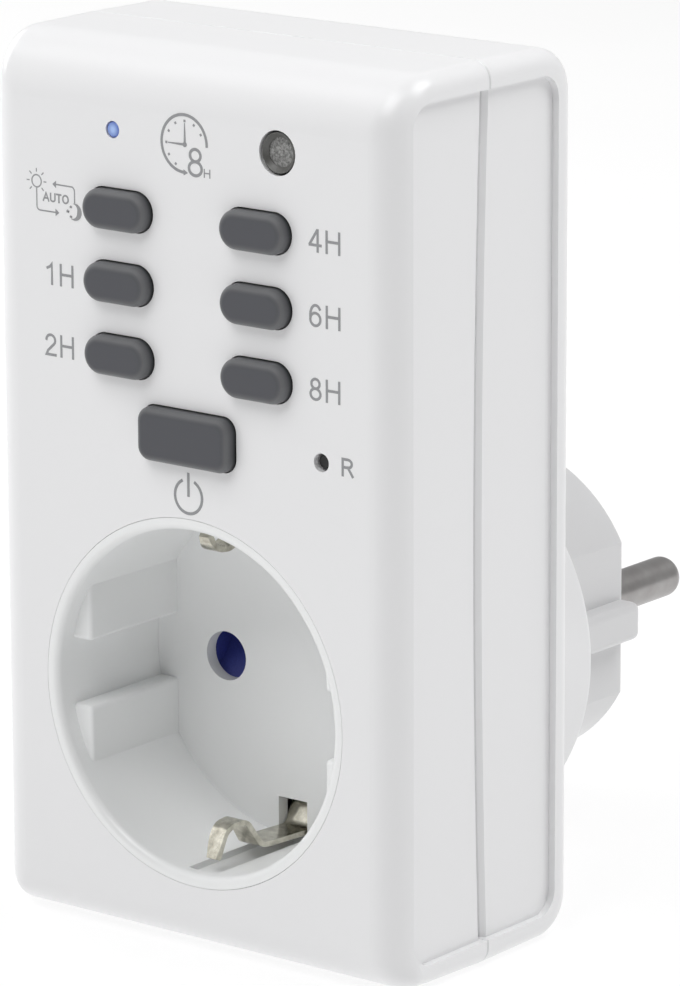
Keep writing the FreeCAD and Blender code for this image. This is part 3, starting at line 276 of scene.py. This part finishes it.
def plain_metal(name, first, second, rough, run=(1, 1, 1)):
    """A small metal piece: a clear shine over lines that run along the axes where run is small."""
    material, tree, shader, place = finish_named(name)
    lines = pattern(tree, place, 0.15 * MM, run=run)
    tree.links.new(between(tree, lines, first, second), shader.inputs["Base Color"])
    gloss(tree, shader, lines, rough - 0.06, rough + 0.08)
    set_surface(shader, Metallic=1.0)
    relief(tree, shader, lines, 0.003 * MM, 0.4)
    return material


# How far from the middle the light guide begins to deepen, and where it is at its deepest
LAMP_CORE, LAMP_RIM = 0.2 * MM, 0.95 * MM


def lit_light_guide():
    """Clear polycarbonate light guide with the blue lamp on behind it: pale centre, deeper rim."""
    material, tree, shader, place = finish_named("lit_polycarbonate_light_guide")
    lamp = sum(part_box("light_pipe"), Vector()) / 2
    centre = add(tree, "ShaderNodeVectorMath", {0: place, 1: lamp}, operation="SUBTRACT").outputs["Vector"]
    flat = add(tree, "ShaderNodeMapping", {"Vector": centre, "Scale": (1, 0, 1)}).outputs["Vector"]
    reach = add(tree, "ShaderNodeVectorMath", {0: flat}, operation="LENGTH").outputs["Value"]
    links = {"Value": reach, "From Min": LAMP_CORE, "From Max": LAMP_RIM}
    rim = add(tree, "ShaderNodeMapRange", links).outputs["Result"]
    links = {MIX_SHARE: rim, MIX_FIRST: shade("9DB8E8"), MIX_SECOND: shade("4660B4")}
    glow = add(tree, "ShaderNodeMix", links, data_type="RGBA").outputs[MIX_RESULT]
    tree.links.new(glow, shader.inputs["Base Color"])
    tree.links.new(glow, shader.inputs["Emission Color"])
    set_surface(shader, IOR=1.58, Roughness=0.2, Emission_Strength=0.08)
    return material


def textured_acrylic():
    """Smoked acrylic disc over the light sensor: its coarse frosted face glitters from dark to pale grey."""
    material, tree, shader, place = finish_named("frosted_smoked_acrylic")
    frost = pattern(tree, place, 0.3 * MM, rough=0.7)
    tree.links.new(between(tree, frost, "383838", "A8A8A6"), shader.inputs["Base Color"])
    gloss(tree, shader, frost, 0.3, 0.5)
    set_surface(shader, IOR=1.49)
    relief(tree, shader, frost, 0.08 * MM, 0.8)
    return material


def printed_ink():
    """Pad-printed grey ink: flat, thin and slightly uneven."""
    material, tree, shader, place = finish_named("pad_printed_grey_ink")
    patch = pattern(tree, place, 0.3 * MM)
    tree.links.new(between(tree, patch, "929395", "9A9B9D"), shader.inputs["Base Color"])
    set_surface(shader, Roughness=0.5, IOR=1.5)
    return material


FINISHES = {
    "white_shell": moulded_abs(),
    "white_well": moulded_polycarbonate(),
    "key_rubber": silicone_rubber(),
    "nickel_strip": nickel_plated_strip(),
    "nickel_pin": nickel_plated_pin(),
    "lamp_blue": lit_light_guide(),
    "sensor_face": textured_acrylic(),
    # A waxy blue with a soft sheen, the one strong colour in the well
    "blue_shutter": plain_moulding("moulded_navy_acetal", "434CA0", "4E58B2", 0.34, 1.48),
    # A satin grey between the white of the case and the dark sensor
    "sensor_ring": plain_moulding("moulded_grey_abs", "585856", "636360", 0.4, 1.54),
    # Nearly black, darkened further as painted shade, so that the sunk reset looks deep
    "reset_plastic": plain_moulding("moulded_black_acetal_with_painted_shade", "141415", "1B1B1C", 0.42, 1.48),
    # The cream of an undyed plastic, with little gloss
    "carrier_plastic": plain_moulding("moulded_natural_pbt", "D2CFC0", "DAD7CA", 0.45, 1.55),
    # An even mid blue with a soft sheen
    "relay_case": plain_moulding("moulded_blue_pbt", "20467E", "264E8A", 0.4, 1.55),
    # A warm, even yellow with a soft sheen
    "capacitor_case": plain_moulding("moulded_yellow_pbt", "CDA328", "D8AE33", 0.4, 1.55),
    # A tight black film with a clear highlight
    "capacitor_sleeve": plain_moulding("shrunk_black_pvc", "131316", "1C1C20", 0.3, 1.53),
    # A thick blue coat, the glossiest on the board
    "varistor_coat": plain_moulding("dipped_blue_epoxy", "1A3F8C", "234B9C", 0.25, 1.55),
    # A brownish black with little gloss
    "fuse_case": plain_moulding("moulded_black_thermoplastic", "1B1917", "24211F", 0.45, 1.5),
    # A dry, matt black
    "chip_epoxy": plain_moulding("moulded_black_epoxy", "161618", "1F1F21", 0.5, 1.55),
    # A deep green lacquer
    "board_laminate": plain_moulding("solder_masked_glass_epoxy", "1F5A31", "27683B", 0.35, 1.55),
    # A dead black with hardly a highlight
    "carbon_pad": plain_moulding("pressed_carbon_silicone", "101010", "181818", 0.7, 1.43),
    # The pale yellow of the lamp's filling
    "led_package": plain_moulding("moulded_lamp_package", "DAD6B4", "E3DFC0", 0.35, 1.5),
    # The smooth skins of the leads
    "brown_insulation": plain_moulding("extruded_brown_pvc", "4C2C1A", "593420", 0.4, 1.53),
    "blue_insulation": plain_moulding("extruded_blue_pvc", "1F449C", "2850AC", 0.4, 1.53),
    # A warm yellow metal, with its lines all one way
    "brass": plain_metal("stamped_brass", "C9A45A", "D8B56C", 0.28, (0.1, 1, 1)),
    # A cool, bright wire
    "spring_steel": plain_metal("drawn_stainless_wire", "9E9EA0", "B0B0B2", 0.25),
    # The slightly bluish shine of a plated screw
    "screw_steel": plain_metal("zinc_plated_steel", "A4A6A8", "B8BABC", 0.3),
}
INK = printed_ink()

for entry in frame["record"]["subparts"]:
    piece = nodes[entry["node"]]
    piece.data.materials.clear()
    piece.data.materials.append(FINISHES[entry["material_slot"]])


def new_object(name, data):
    """An object in the scene, at the origin."""
    made = bpy.data.objects.new(name, data)
    bpy.context.scene.collection.objects.link(made)
    return made


def mesh_object(name, mesh, finish):
    """A finished mesh as an object of one material."""
    data = bpy.data.meshes.new(name)
    mesh.to_mesh(data)
    mesh.free()
    data.materials.append(finish)
    return new_object(name, data)


# Printed signs, drawn as flat ribbons of ink on the front of the case, in mm across and up

# The ink's thickness, and how much further each next stroke or patch of a sign stands out
PRINT_T = 0.02 * MM
PRINT_STEP = 0.0015 * MM
# A stroke is closed where its two ends are nearer than this share of its width
CLOSED_SHARE = 0.02
# The least cosine that a mitre is worked out with, so that a sharp turn doesn't end in a spike
MITRE_COSINE = 0.5


def ellipse(x, z, half_w, half_h, start, end, steps=24):
    """Points along an ellipse between two angles in degrees, counted from +X towards +Z."""
    turns = [math.radians(start + (end - start) * i / steps) for i in range(steps + 1)]
    return [(x + half_w * math.cos(t), z + half_h * math.sin(t)) for t in turns]


def ribbon(points, width):
    """Rows of a left and a right corner along a stroke: mitred at its turns, square at its ends."""
    path = [Vector(p) for p in points]
    closed = (path[0] - path[-1]).length < width * CLOSED_SHARE
    if closed:
        path = path[:-1]
    else:
        path[0] = path[0] + (path[0] - path[1]).normalized() * width / 2
        path[-1] = path[-1] + (path[-1] - path[-2]).normalized() * width / 2
    rows = []
    for i, spot in enumerate(path):
        legs = []
        if closed or i > 0:
            legs.append((spot - path[i - 1]).normalized())
        if closed or i < len(path) - 1:
            legs.append((path[(i + 1) % len(path)] - spot).normalized())
        normals = [Vector((-leg.y, leg.x)) for leg in legs]
        middle = (normals[0] + normals[-1]).normalized()
        reach = width / 2 / max(middle.dot(normals[0]), MITRE_COSINE)
        rows.append((spot + middle * reach, spot - middle * reach))
    return rows, closed


def print_sign(name, strokes, patches=(), bands=()):
    """One piece of ink from strokes of (points, width), filled patches and bands of rows.

    Each stroke is a hair thicker than the one before, so that no two lie in one plane where they cross.
    """
    mesh = bmesh.new()
    front = FRONT_Y - PRINT_T
    for rows, closed in [ribbon(*stroke) for stroke in strokes] + [(band, False) for band in bands]:
        made = [[mesh.verts.new((p.x * MM, front, p.y * MM)) for p in row] for row in rows]
        pairs = list(zip(made, made[1:])) + ([(made[-1], made[0])] if closed else [])
        for (left, right), (next_left, next_right) in pairs:
            mesh.faces.new((right, next_right, next_left, left))
        front -= PRINT_STEP
    for points in patches:
        corners = [mesh.verts.new((x * MM, front, z * MM)) for x, z in points]
        bmesh.ops.triangulate(mesh, faces=[mesh.faces.new(corners)])
        front -= PRINT_STEP
    for face in mesh.faces:
        face.normal_update()
        if face.normal.y > 0:
            face.normal_flip()
    grown = bmesh.ops.extrude_face_region(mesh, geom=mesh.faces[:])
    for part in grown["geom"]:
        if isinstance(part, bmesh.types.BMVert):
            part.co.y = FRONT_Y
    bmesh.ops.recalc_face_normals(mesh, faces=mesh.faces[:])
    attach(mesh_object(name, mesh, INK), "case")


# Each glyph: its width and its strokes, for a height of 1
GLYPHS = {
    "1": (0.454, [[(0.0, 0.78), (0.16, 0.86), (0.264, 1.0), (0.264, 0.0)]]),
    "2": (0.58, [ellipse(0.29, 0.73, 0.26, 0.27, 172, -38, 18) + [(0.12, 0.2), (0.03, 0.0), (0.57, 0.0)]]),
    "4": (0.6, [[(0.44, 0.0), (0.44, 1.0)], [(0.39, 0.97), (0.01, 0.33)], [(0.0, 0.28), (0.6, 0.28)]]),
    "6": (0.6, [ellipse(0.3, 0.31, 0.28, 0.31, 0, 360),
                ellipse(0.32, 0.5, 0.3, 0.5, 188, 42, 20)]),
    "8": (0.6, [ellipse(0.3, 0.765, 0.23, 0.235, 0, 360), ellipse(0.3, 0.265, 0.28, 0.265, 0, 360)]),
    "H": (0.694, [[(0.0, 0.0), (0.0, 1.0)], [(0.694, 0.0), (0.694, 1.0)], [(0.0, 0.53), (0.694, 0.53)]]),
    "R": (0.66, [[(0.04, 0.0), (0.04, 1.0)], [(0.36, 0.5), (0.64, 0.0)],
                 [(0.04, 1.0), (0.36, 1.0)] + ellipse(0.36, 0.75, 0.24, 0.25, 80, -80, 12)
                 + [(0.36, 0.5), (0.04, 0.5)]]),
    "A": (0.74, [[(0.02, 0.0), (0.37, 1.0), (0.72, 0.0)], [(0.15, 0.33), (0.59, 0.33)]]),
    "U": (0.66, [[(0.04, 1.0)] + ellipse(0.33, 0.29, 0.29, 0.29, 180, 360, 14) + [(0.62, 1.0)]]),
    "T": (0.56, [[(0.02, 1.0), (0.54, 1.0)], [(0.28, 0.96), (0.28, 0.0)]]),
    "O": (0.78, [ellipse(0.39, 0.5, 0.36, 0.5, 0, 360)]),
}


def word(text, left, low, width, height, stroke, gap=0.2):
    """The strokes of a word that fills a width and a height; gap is between letters, for a height of 1."""
    natural = sum(GLYPHS[c][0] for c in text) + gap * (len(text) - 1)
    across, up = (width - stroke) / natural, height - stroke
    strokes, along = [], 0.0
    for letter in text:
        for points in GLYPHS[letter][1]:
            placed = [(left + stroke / 2 + (along + x) * across, low + stroke / 2 + z * up)
                      for x, z in points]
            strokes.append((placed, stroke))
        along += GLYPHS[letter][0] + gap
    return strokes


def arrow_head(tip, heading, length, width):
    """A filled arrow head as a patch."""
    tip, heading = Vector(tip), Vector(heading).normalized()
    side = Vector((-heading.y, heading.x)) * width / 2
    back = tip - heading * length
    return [tuple(tip), tuple(back + side), tuple(back - side)]


def crescent(x, z, radius, start, end, thick, least=0.03, steps=26):
    """A moon as a band along its outer arc, thickest half way between its two tips."""
    rows = []
    for i in range(steps + 1):
        turn = math.radians(start + (end - start) * i / steps)
        inner = radius - max(thick * math.sin(math.pi * i / steps), least)
        rows.append([Vector((x + r * math.cos(turn), z + r * math.sin(turn))) for r in (radius, inner)])
    return rows


def star(x, z, radius, waist=0.42):
    """A five-pointed star as a patch; between two points it goes in to a share of the radius, its waist."""
    tips = [(radius if i % 2 == 0 else radius * waist, math.radians(90 + 36 * i)) for i in range(10)]
    return [(x + r * math.cos(t), z + r * math.sin(t)) for r, t in tips]


# The hour figures stand beside their keys: text, left edge, lower edge, width
HOUR_LABELS = [
    ("1H", -20.12, 44.42, 3.9), ("2H", -20.51, 36.42, 4.2),
    ("4H", 16.63, 52.68, 4.25), ("6H", 16.61, 44.6, 4.25), ("8H", 16.59, 36.6, 4.22),
]
HOUR_H, HOUR_STROKE, HOUR_GAP = 2.52, 0.3, 0.339
for text, left, low, width in HOUR_LABELS:
    print_sign("hours_" + text.lower(), word(text, left, low, width, HOUR_H, HOUR_STROKE, HOUR_GAP))
print_sign("reset_letter", word("R", left=20.85, low=28.9, width=1.75, height=2.05, stroke=0.3))

# Power sign: a ring that is open at its top, with a bar in the gap
POWER_X, POWER_Z, POWER_R, POWER_STROKE = -0.2, 23.43, 1.9, 0.34
POWER_BAR = (0.15, 2.5)
print_sign("power_sign", [
    (ellipse(POWER_X, POWER_Z, POWER_R, POWER_R, 120, 420, 40), POWER_STROKE),
    ([(POWER_X, POWER_Z + end) for end in POWER_BAR], POWER_STROKE),
])

# Clock sign: a ring that ends in an arrow, two hands, and the longest time beside it
CLOCK_X, CLOCK_Z, CLOCK_R, CLOCK_STROKE = -0.31, 62.3, 3.13, 0.33
HUB_X, HUB_Z, HUB_R = -0.22, 62.2, 0.28
# A hand's length, and half its width at the hub and at its tip
HAND_L, HAND_ROOT, HAND_TIP = 2.35, 0.15, 0.05


def clock_hand(across, up):
    """A hand from the hub in one direction, as a patch."""
    corners = ((0.0, HAND_ROOT), (0.0, -HAND_ROOT), (HAND_L, -HAND_TIP), (HAND_L, HAND_TIP))
    return [(HUB_X + reach * across - side * up, HUB_Z + reach * up + side * across)
            for reach, side in corners]


print_sign("clock_sign", [
    (ellipse(CLOCK_X, CLOCK_Z, CLOCK_R, CLOCK_R, 1, 269, 48), CLOCK_STROKE),
    *word("8", left=0.1, low=58.81, width=2.23, height=3.2, stroke=0.34),
    *word("H", left=2.39, low=58.9, width=0.89, height=0.96, stroke=0.13),
], [
    arrow_head((CLOCK_X + 0.5, CLOCK_Z - 3.14), (1, 0), length=0.6, width=0.66),
    clock_hand(0, 1),
    clock_hand(-1, 0),
    ellipse(HUB_X, HUB_Z, HUB_R, HUB_R, 0, 345, 15),
])

# Day and night sign beside the key that follows the light sensor: a sun, a moon with stars, an arrow to each
SUN_X, SUN_Z, SUN_R = -21.35, 55.8, 0.68
MOON_X, MOON_Z, MOON_R, MOON_THICK = -15.87, 52.95, 0.95, 0.62
STARS = [(-16.88, 52.95, 0.23), (-16.45, 53.48, 0.18), (-16.45, 52.4, 0.18)]
FINE_STROKE, BEND_R = 0.15, 0.45
TO_SUN = [
    (-15.9, 54.0), (-15.9, 55.25), *ellipse(-16.35, 55.25, BEND_R, BEND_R, 20, 90, 5), (-18.6, 55.72),
]
TO_MOON = [
    (SUN_X, 55.0), (SUN_X, 53.05), *ellipse(SUN_X + BEND_R, 53.05, BEND_R, BEND_R, 200, 270, 5),
    (-18.6, 52.6),
]
print_sign("day_night_sign", [
    (ellipse(SUN_X, SUN_Z, SUN_R, SUN_R, 0, 360), FINE_STROKE),
    (TO_SUN, FINE_STROKE),
    (TO_MOON, FINE_STROKE),
    *word("AUTO", left=-20.5, low=53.68, width=3.8, height=1.03, stroke=0.18),
], [
    arrow_head((-19.05, 55.72), (-1, 0), length=0.5, width=0.8),
    arrow_head((-18.15, 52.6), (1, 0), length=0.5, width=0.8),
    *[star(*spot) for spot in STARS],
], [crescent(MOON_X, MOON_Z, MOON_R, -125, 105, MOON_THICK)])


# Trees for what repeats or winds: the dial's ticks and the sun's rays, and the shutter's spring

def group_taking(name, *wanted):
    """A Geometry Nodes tree with the wanted (name, kind) inputs and one geometry output, and its inputs."""
    tree = bpy.data.node_groups.new(name, "GeometryNodeTree")
    for label, kind in wanted:
        tree.interface.new_socket(label, in_out="INPUT", socket_type="NodeSocket" + kind)
    tree.interface.new_socket("Geometry", in_out="OUTPUT", socket_type="NodeSocketGeometry")
    return tree, add(tree, "NodeGroupInput").outputs


def ring_of_marks_tree():
    """Marks at equal steps round a circle, each turned outwards, from a first to a last one."""
    tree, given = group_taking(
        "ring_of_marks", ("Count", "Int"), ("First", "Int"), ("Last", "Int"), ("Radius", "Float"),
        ("Mark", "Vector"), ("Centre", "Vector"), ("Ink", "Material"))
    ring = add(tree, "GeometryNodeMeshCircle", {"Vertices": given["Count"], "Radius": given["Radius"]})
    dots = add(tree, "GeometryNodeMeshToPoints", {"Mesh": ring.outputs["Mesh"]})
    order = add(tree, "GeometryNodeInputIndex").outputs["Index"]
    # A Compare node takes whole numbers at its inputs 2 and 3
    started, going = (
        add(tree, "FunctionNodeCompare", {2: order, 3: given[limit]}, data_type="INT", operation=operation)
        for limit, operation in (("First", "GREATER_EQUAL"), ("Last", "LESS_EQUAL")))
    shown = add(tree, "FunctionNodeBooleanMath", {0: started.outputs["Result"], 1: going.outputs["Result"]})
    place = add(tree, "GeometryNodeInputPosition").outputs["Position"]
    turn = add(tree, "FunctionNodeAlignRotationToVector", {"Vector": place}, axis="X", pivot_axis="Z")
    mark = add(tree, "GeometryNodeMeshCube", {"Size": given["Mark"]})
    marks = add(tree, "GeometryNodeInstanceOnPoints", {
        "Points": dots.outputs["Points"], "Selection": shown.outputs["Boolean"],
        "Instance": mark.outputs["Mesh"], "Rotation": turn.outputs["Rotation"]})
    solid = add(tree, "GeometryNodeRealizeInstances", {"Geometry": marks.outputs["Instances"]})
    upright = add(tree, "GeometryNodeTransform", {
        "Geometry": solid.outputs["Geometry"], "Translation": given["Centre"],
        "Rotation": (math.radians(90), 0, 0)})
    links = {"Geometry": upright.outputs["Geometry"], "Material": given["Ink"]}
    inked = add(tree, "GeometryNodeSetMaterial", links)
    add(tree, "NodeGroupOutput", {"Geometry": inked.outputs["Geometry"]})
    return tree


# Steps in one turn of the coil, and sides of its wire
COIL_STEPS, WIRE_SIDES = 32, 10


def coil_tree():
    """A compression spring standing on Z: a spiral of round wire with a flat closing ring at each end."""
    tree, given = group_taking(
        "coil_spring", ("Turns", "Float"), ("Radius", "Float"), ("Wire", "Float"), ("Height", "Float"),
        ("Foot", "Vector"), ("Metal", "Material"))
    spiral = add(tree, "GeometryNodeCurveSpiral", {
        "Resolution": COIL_STEPS, "Rotations": given["Turns"], "Start Radius": given["Radius"],
        "End Radius": given["Radius"], "Height": given["Height"]})
    links = {"Resolution": COIL_STEPS, "Radius": given["Radius"]}
    ring = add(tree, "GeometryNodeCurvePrimitiveCircle", links).outputs["Curve"]
    lift = add(tree, "ShaderNodeCombineXYZ", {"Z": given["Height"]}).outputs["Vector"]
    top = add(tree, "GeometryNodeTransform", {"Geometry": ring, "Translation": lift})
    path = add(tree, "GeometryNodeJoinGeometry")
    for part in (spiral.outputs["Curve"], ring, top.outputs["Geometry"]):
        tree.links.new(part, path.inputs["Geometry"])
    links = {"Resolution": WIRE_SIDES, "Radius": given["Wire"]}
    wire = add(tree, "GeometryNodeCurvePrimitiveCircle", links)
    solid = add(tree, "GeometryNodeCurveToMesh", {
        "Curve": path.outputs["Geometry"], "Profile Curve": wire.outputs["Curve"], "Fill Caps": True})
    links = {"Geometry": solid.outputs["Mesh"], "Translation": given["Foot"]}
    placed = add(tree, "GeometryNodeTransform", links)
    links = {"Geometry": placed.outputs["Geometry"], "Material": given["Metal"]}
    clad = add(tree, "GeometryNodeSetMaterial", links)
    add(tree, "NodeGroupOutput", {"Geometry": clad.outputs["Geometry"]})
    return tree


def made_by(tree, name, body, **sizes):
    """Runs a Geometry Nodes tree with its named sizes and keeps the result as a plain mesh on a body."""
    piece = new_object(name, bpy.data.meshes.new(name))
    modifier = piece.modifiers.new("made", "NODES")
    modifier.node_group = tree
    names = {item.name: item.identifier for item in tree.interface.items_tree if item.in_out == "INPUT"}
    for size, value in sizes.items():
        modifier[names[size]] = value
    depsgraph = bpy.context.evaluated_depsgraph_get()
    data = bpy.data.meshes.new_from_object(piece.evaluated_get(depsgraph))
    data.name = name
    piece.modifiers.remove(modifier)
    piece.data = data
    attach(piece, body)
    return piece


# Name, steps round the circle, first and last mark, radius, a mark's length and width, and the centre, in mm
MARKS = [
    ("clock_ticks", 12, 1, 8, 2.56, (0.27, 0.27), (HUB_X, HUB_Z)),
    ("sun_rays", 8, 0, 7, 1.22, (0.4, 0.13), (SUN_X, SUN_Z)),
]
RING_OF_MARKS = ring_of_marks_tree()
for name, count, first, last, radius, (length, width), (x, z) in MARKS:
    made_by(RING_OF_MARKS, name, "case", Count=count, First=first, Last=last, Radius=radius * MM,
            Mark=(length * MM, width * MM, PRINT_T),
            Centre=(x * MM, FRONT_Y - PRINT_T / 2, z * MM), Ink=INK)


# The light sensor's bezel, turned about the sensor's axis: a narrow lip, and a cone that runs in

BEZEL_LOW, BEZEL_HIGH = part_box("sensor_holder")
BEZEL_END = (BEZEL_HIGH.y - FRONT_Y) / MM
BEZEL_SIDES = 72
# Radius and depth behind the front of the case, both in mm
BEZEL_PROFILE = [
    (2.22, BEZEL_END), (2.22, 0.24), (2.16, 0.16), (2.1, 0.16), (1.62, 0.66), (1.62, 0.72), (2.06, 0.72),
    (2.06, BEZEL_END),
]


def turned(name, profile, x, z, sides, finish):
    """A ring turned about an axis along Y from a closed profile of (radius, depth) in mm."""
    mesh = bmesh.new()
    rows = []
    for i in range(sides):
        turn = 2 * math.pi * i / sides
        across, up = math.cos(turn), math.sin(turn)
        rows.append([mesh.verts.new((x + r * MM * across, FRONT_Y + d * MM, z + r * MM * up))
                     for r, d in profile])
    for row, after in zip(rows, rows[1:] + rows[:1]):
        for k in range(len(profile)):
            mesh.faces.new((row[k], row[k - 1], after[k - 1], after[k]))
    bmesh.ops.recalc_face_normals(mesh, faces=mesh.faces[:])
    return mesh_object(name, mesh, finish)


bezel = turned("light_sensor_bezel", BEZEL_PROFILE, (BEZEL_LOW.x + BEZEL_HIGH.x) / 2,
               (BEZEL_LOW.z + BEZEL_HIGH.z) / 2, BEZEL_SIDES, FINISHES["sensor_ring"])
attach(bezel, "case")
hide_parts("sensor_holder")


# The shutter's spring, wound inside the box of the imported one

SPRING_LOW, SPRING_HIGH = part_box("shutter_spring")
SPRING_TURNS = 6
WIRE_R = 0.22 * MM
spring_middle = (SPRING_LOW + SPRING_HIGH) / 2
spring = made_by(
    coil_tree(), "wound_shutter_spring", "case", Turns=SPRING_TURNS, Wire=WIRE_R,
    Radius=(SPRING_HIGH.x - SPRING_LOW.x) / 2 - WIRE_R, Height=SPRING_HIGH.z - SPRING_LOW.z - 2 * WIRE_R,
    Foot=(spring_middle.x, spring_middle.y, SPRING_LOW.z + WIRE_R), Metal=FINISHES["spring_steel"])
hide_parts("shutter_spring")
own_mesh(spring)


# Studio: camera, floor and light

CAMERA_AT = (0.37938, -0.49575, 0.17270)
CAMERA_YAW, CAMERA_DOWN, CAMERA_ROLL = 37.754, 13.636, -0.10
LENS_MM, FILM_MM = 205.63, 36
SHIFT = (-0.0486, -0.0480)
NEAREST, FURTHEST = 0.05, 20

FLOOR_HALF, FLOOR_CELLS = 3.0, 8
# How brightly the light table glows
TABLE_GLOW = 0.73

# How brightly the tent glows straight behind the part
TENT_BACK = 0.64
# The side of a soft box, and the middle of the part, which each box faces from a metre away
BOX_SIDE = 0.6
PART_MIDDLE = (0, -0.02, 0.03)
# Each soft box: its name, its turn towards the right and its height, both in degrees, and its watts
SOFT_BOXES = [
    ("front_box", 0, 55, 4.6),
    ("high_left_box", -60, 55, 1.7),
    ("low_left_box", -50, 20, 1.5),
    ("left_box", -100, 20, 3.3),
    ("right_box", 120, 55, 5.75),
]


def set_camera():
    """The photograph's camera: a long lens that looks down on the timer from its right."""
    data = bpy.data.cameras.new("studio_camera")
    data.sensor_width = FILM_MM
    data.lens = LENS_MM
    data.shift_x, data.shift_y = SHIFT
    data.clip_start, data.clip_end = NEAREST, FURTHEST
    camera = new_object("studio_camera", data)
    turn = Euler((0, 0, math.radians(CAMERA_YAW))).to_matrix()
    tip = Euler((math.radians(90 - CAMERA_DOWN), 0, 0)).to_matrix()
    roll = Euler((0, 0, math.radians(CAMERA_ROLL))).to_matrix()
    camera.matrix_world = Matrix.Translation(CAMERA_AT) @ (turn @ tip @ roll).to_4x4()
    bpy.context.scene.camera = camera


def light_table():
    """The studio floor: opal acrylic over lamps, which glows so evenly that almost no shadow is left."""
    material, tree, shader, place = finish_named("lit_opal_acrylic")
    patch = pattern(tree, place, 90 * MM)
    tree.links.new(between(tree, patch, "8C8C8C", "909090"), shader.inputs["Base Color"])
    set_surface(shader, Roughness=0.9, Emission_Color=shade("FFFFFF"), Emission_Strength=TABLE_GLOW)
    return material


def set_floor():
    """A wide glowing table under the lowest point of the timer."""
    mesh = bmesh.new()
    bmesh.ops.create_grid(mesh, x_segments=FLOOR_CELLS, y_segments=FLOOR_CELLS, size=FLOOR_HALF)
    floor = mesh_object("studio_floor", mesh, light_table())
    floor.location.z = cad_box[0].z


def soft_light(name, turn, height, power):
    """A square soft box a metre from the part, which looks at its middle."""
    turn, height = math.radians(turn), math.radians(height)
    flat = math.cos(height)
    way = Vector((math.sin(turn) * flat, -math.cos(turn) * flat, math.sin(height)))
    data = bpy.data.lights.new(name, "AREA")
    data.size = BOX_SIDE
    data.energy = power
    light = new_object(name, data)
    light.location = Vector(PART_MIDDLE) + way
    light.rotation_euler = (-way).to_track_quat("-Z", "Y").to_euler()


def set_light():
    """A light tent that glows behind the part, and soft boxes round it."""
    world = bpy.data.worlds.new("light_tent")
    world.use_nodes = True
    tree = world.node_tree
    way = add(tree, "ShaderNodeTexCoord").outputs["Generated"]
    links = {0: way, 1: (0, 1, 0)}
    facing = add(tree, "ShaderNodeVectorMath", links, operation="DOT_PRODUCT").outputs["Value"]
    lit = add(tree, "ShaderNodeMath", {0: facing, 1: 0.0}, operation="MAXIMUM").outputs["Value"]
    glow = add(tree, "ShaderNodeMath", {0: lit, 1: TENT_BACK}, operation="MULTIPLY").outputs["Value"]
    tree.links.new(glow, tree.nodes["Background"].inputs["Strength"])
    tree.nodes["Background"].inputs["Color"].default_value = shade("FFFFFF")
    bpy.context.scene.world = world
    for box in SOFT_BOXES:
        soft_light(*box)
    bpy.context.scene.view_settings.view_transform = "Standard"


set_camera()
set_floor()
set_light()
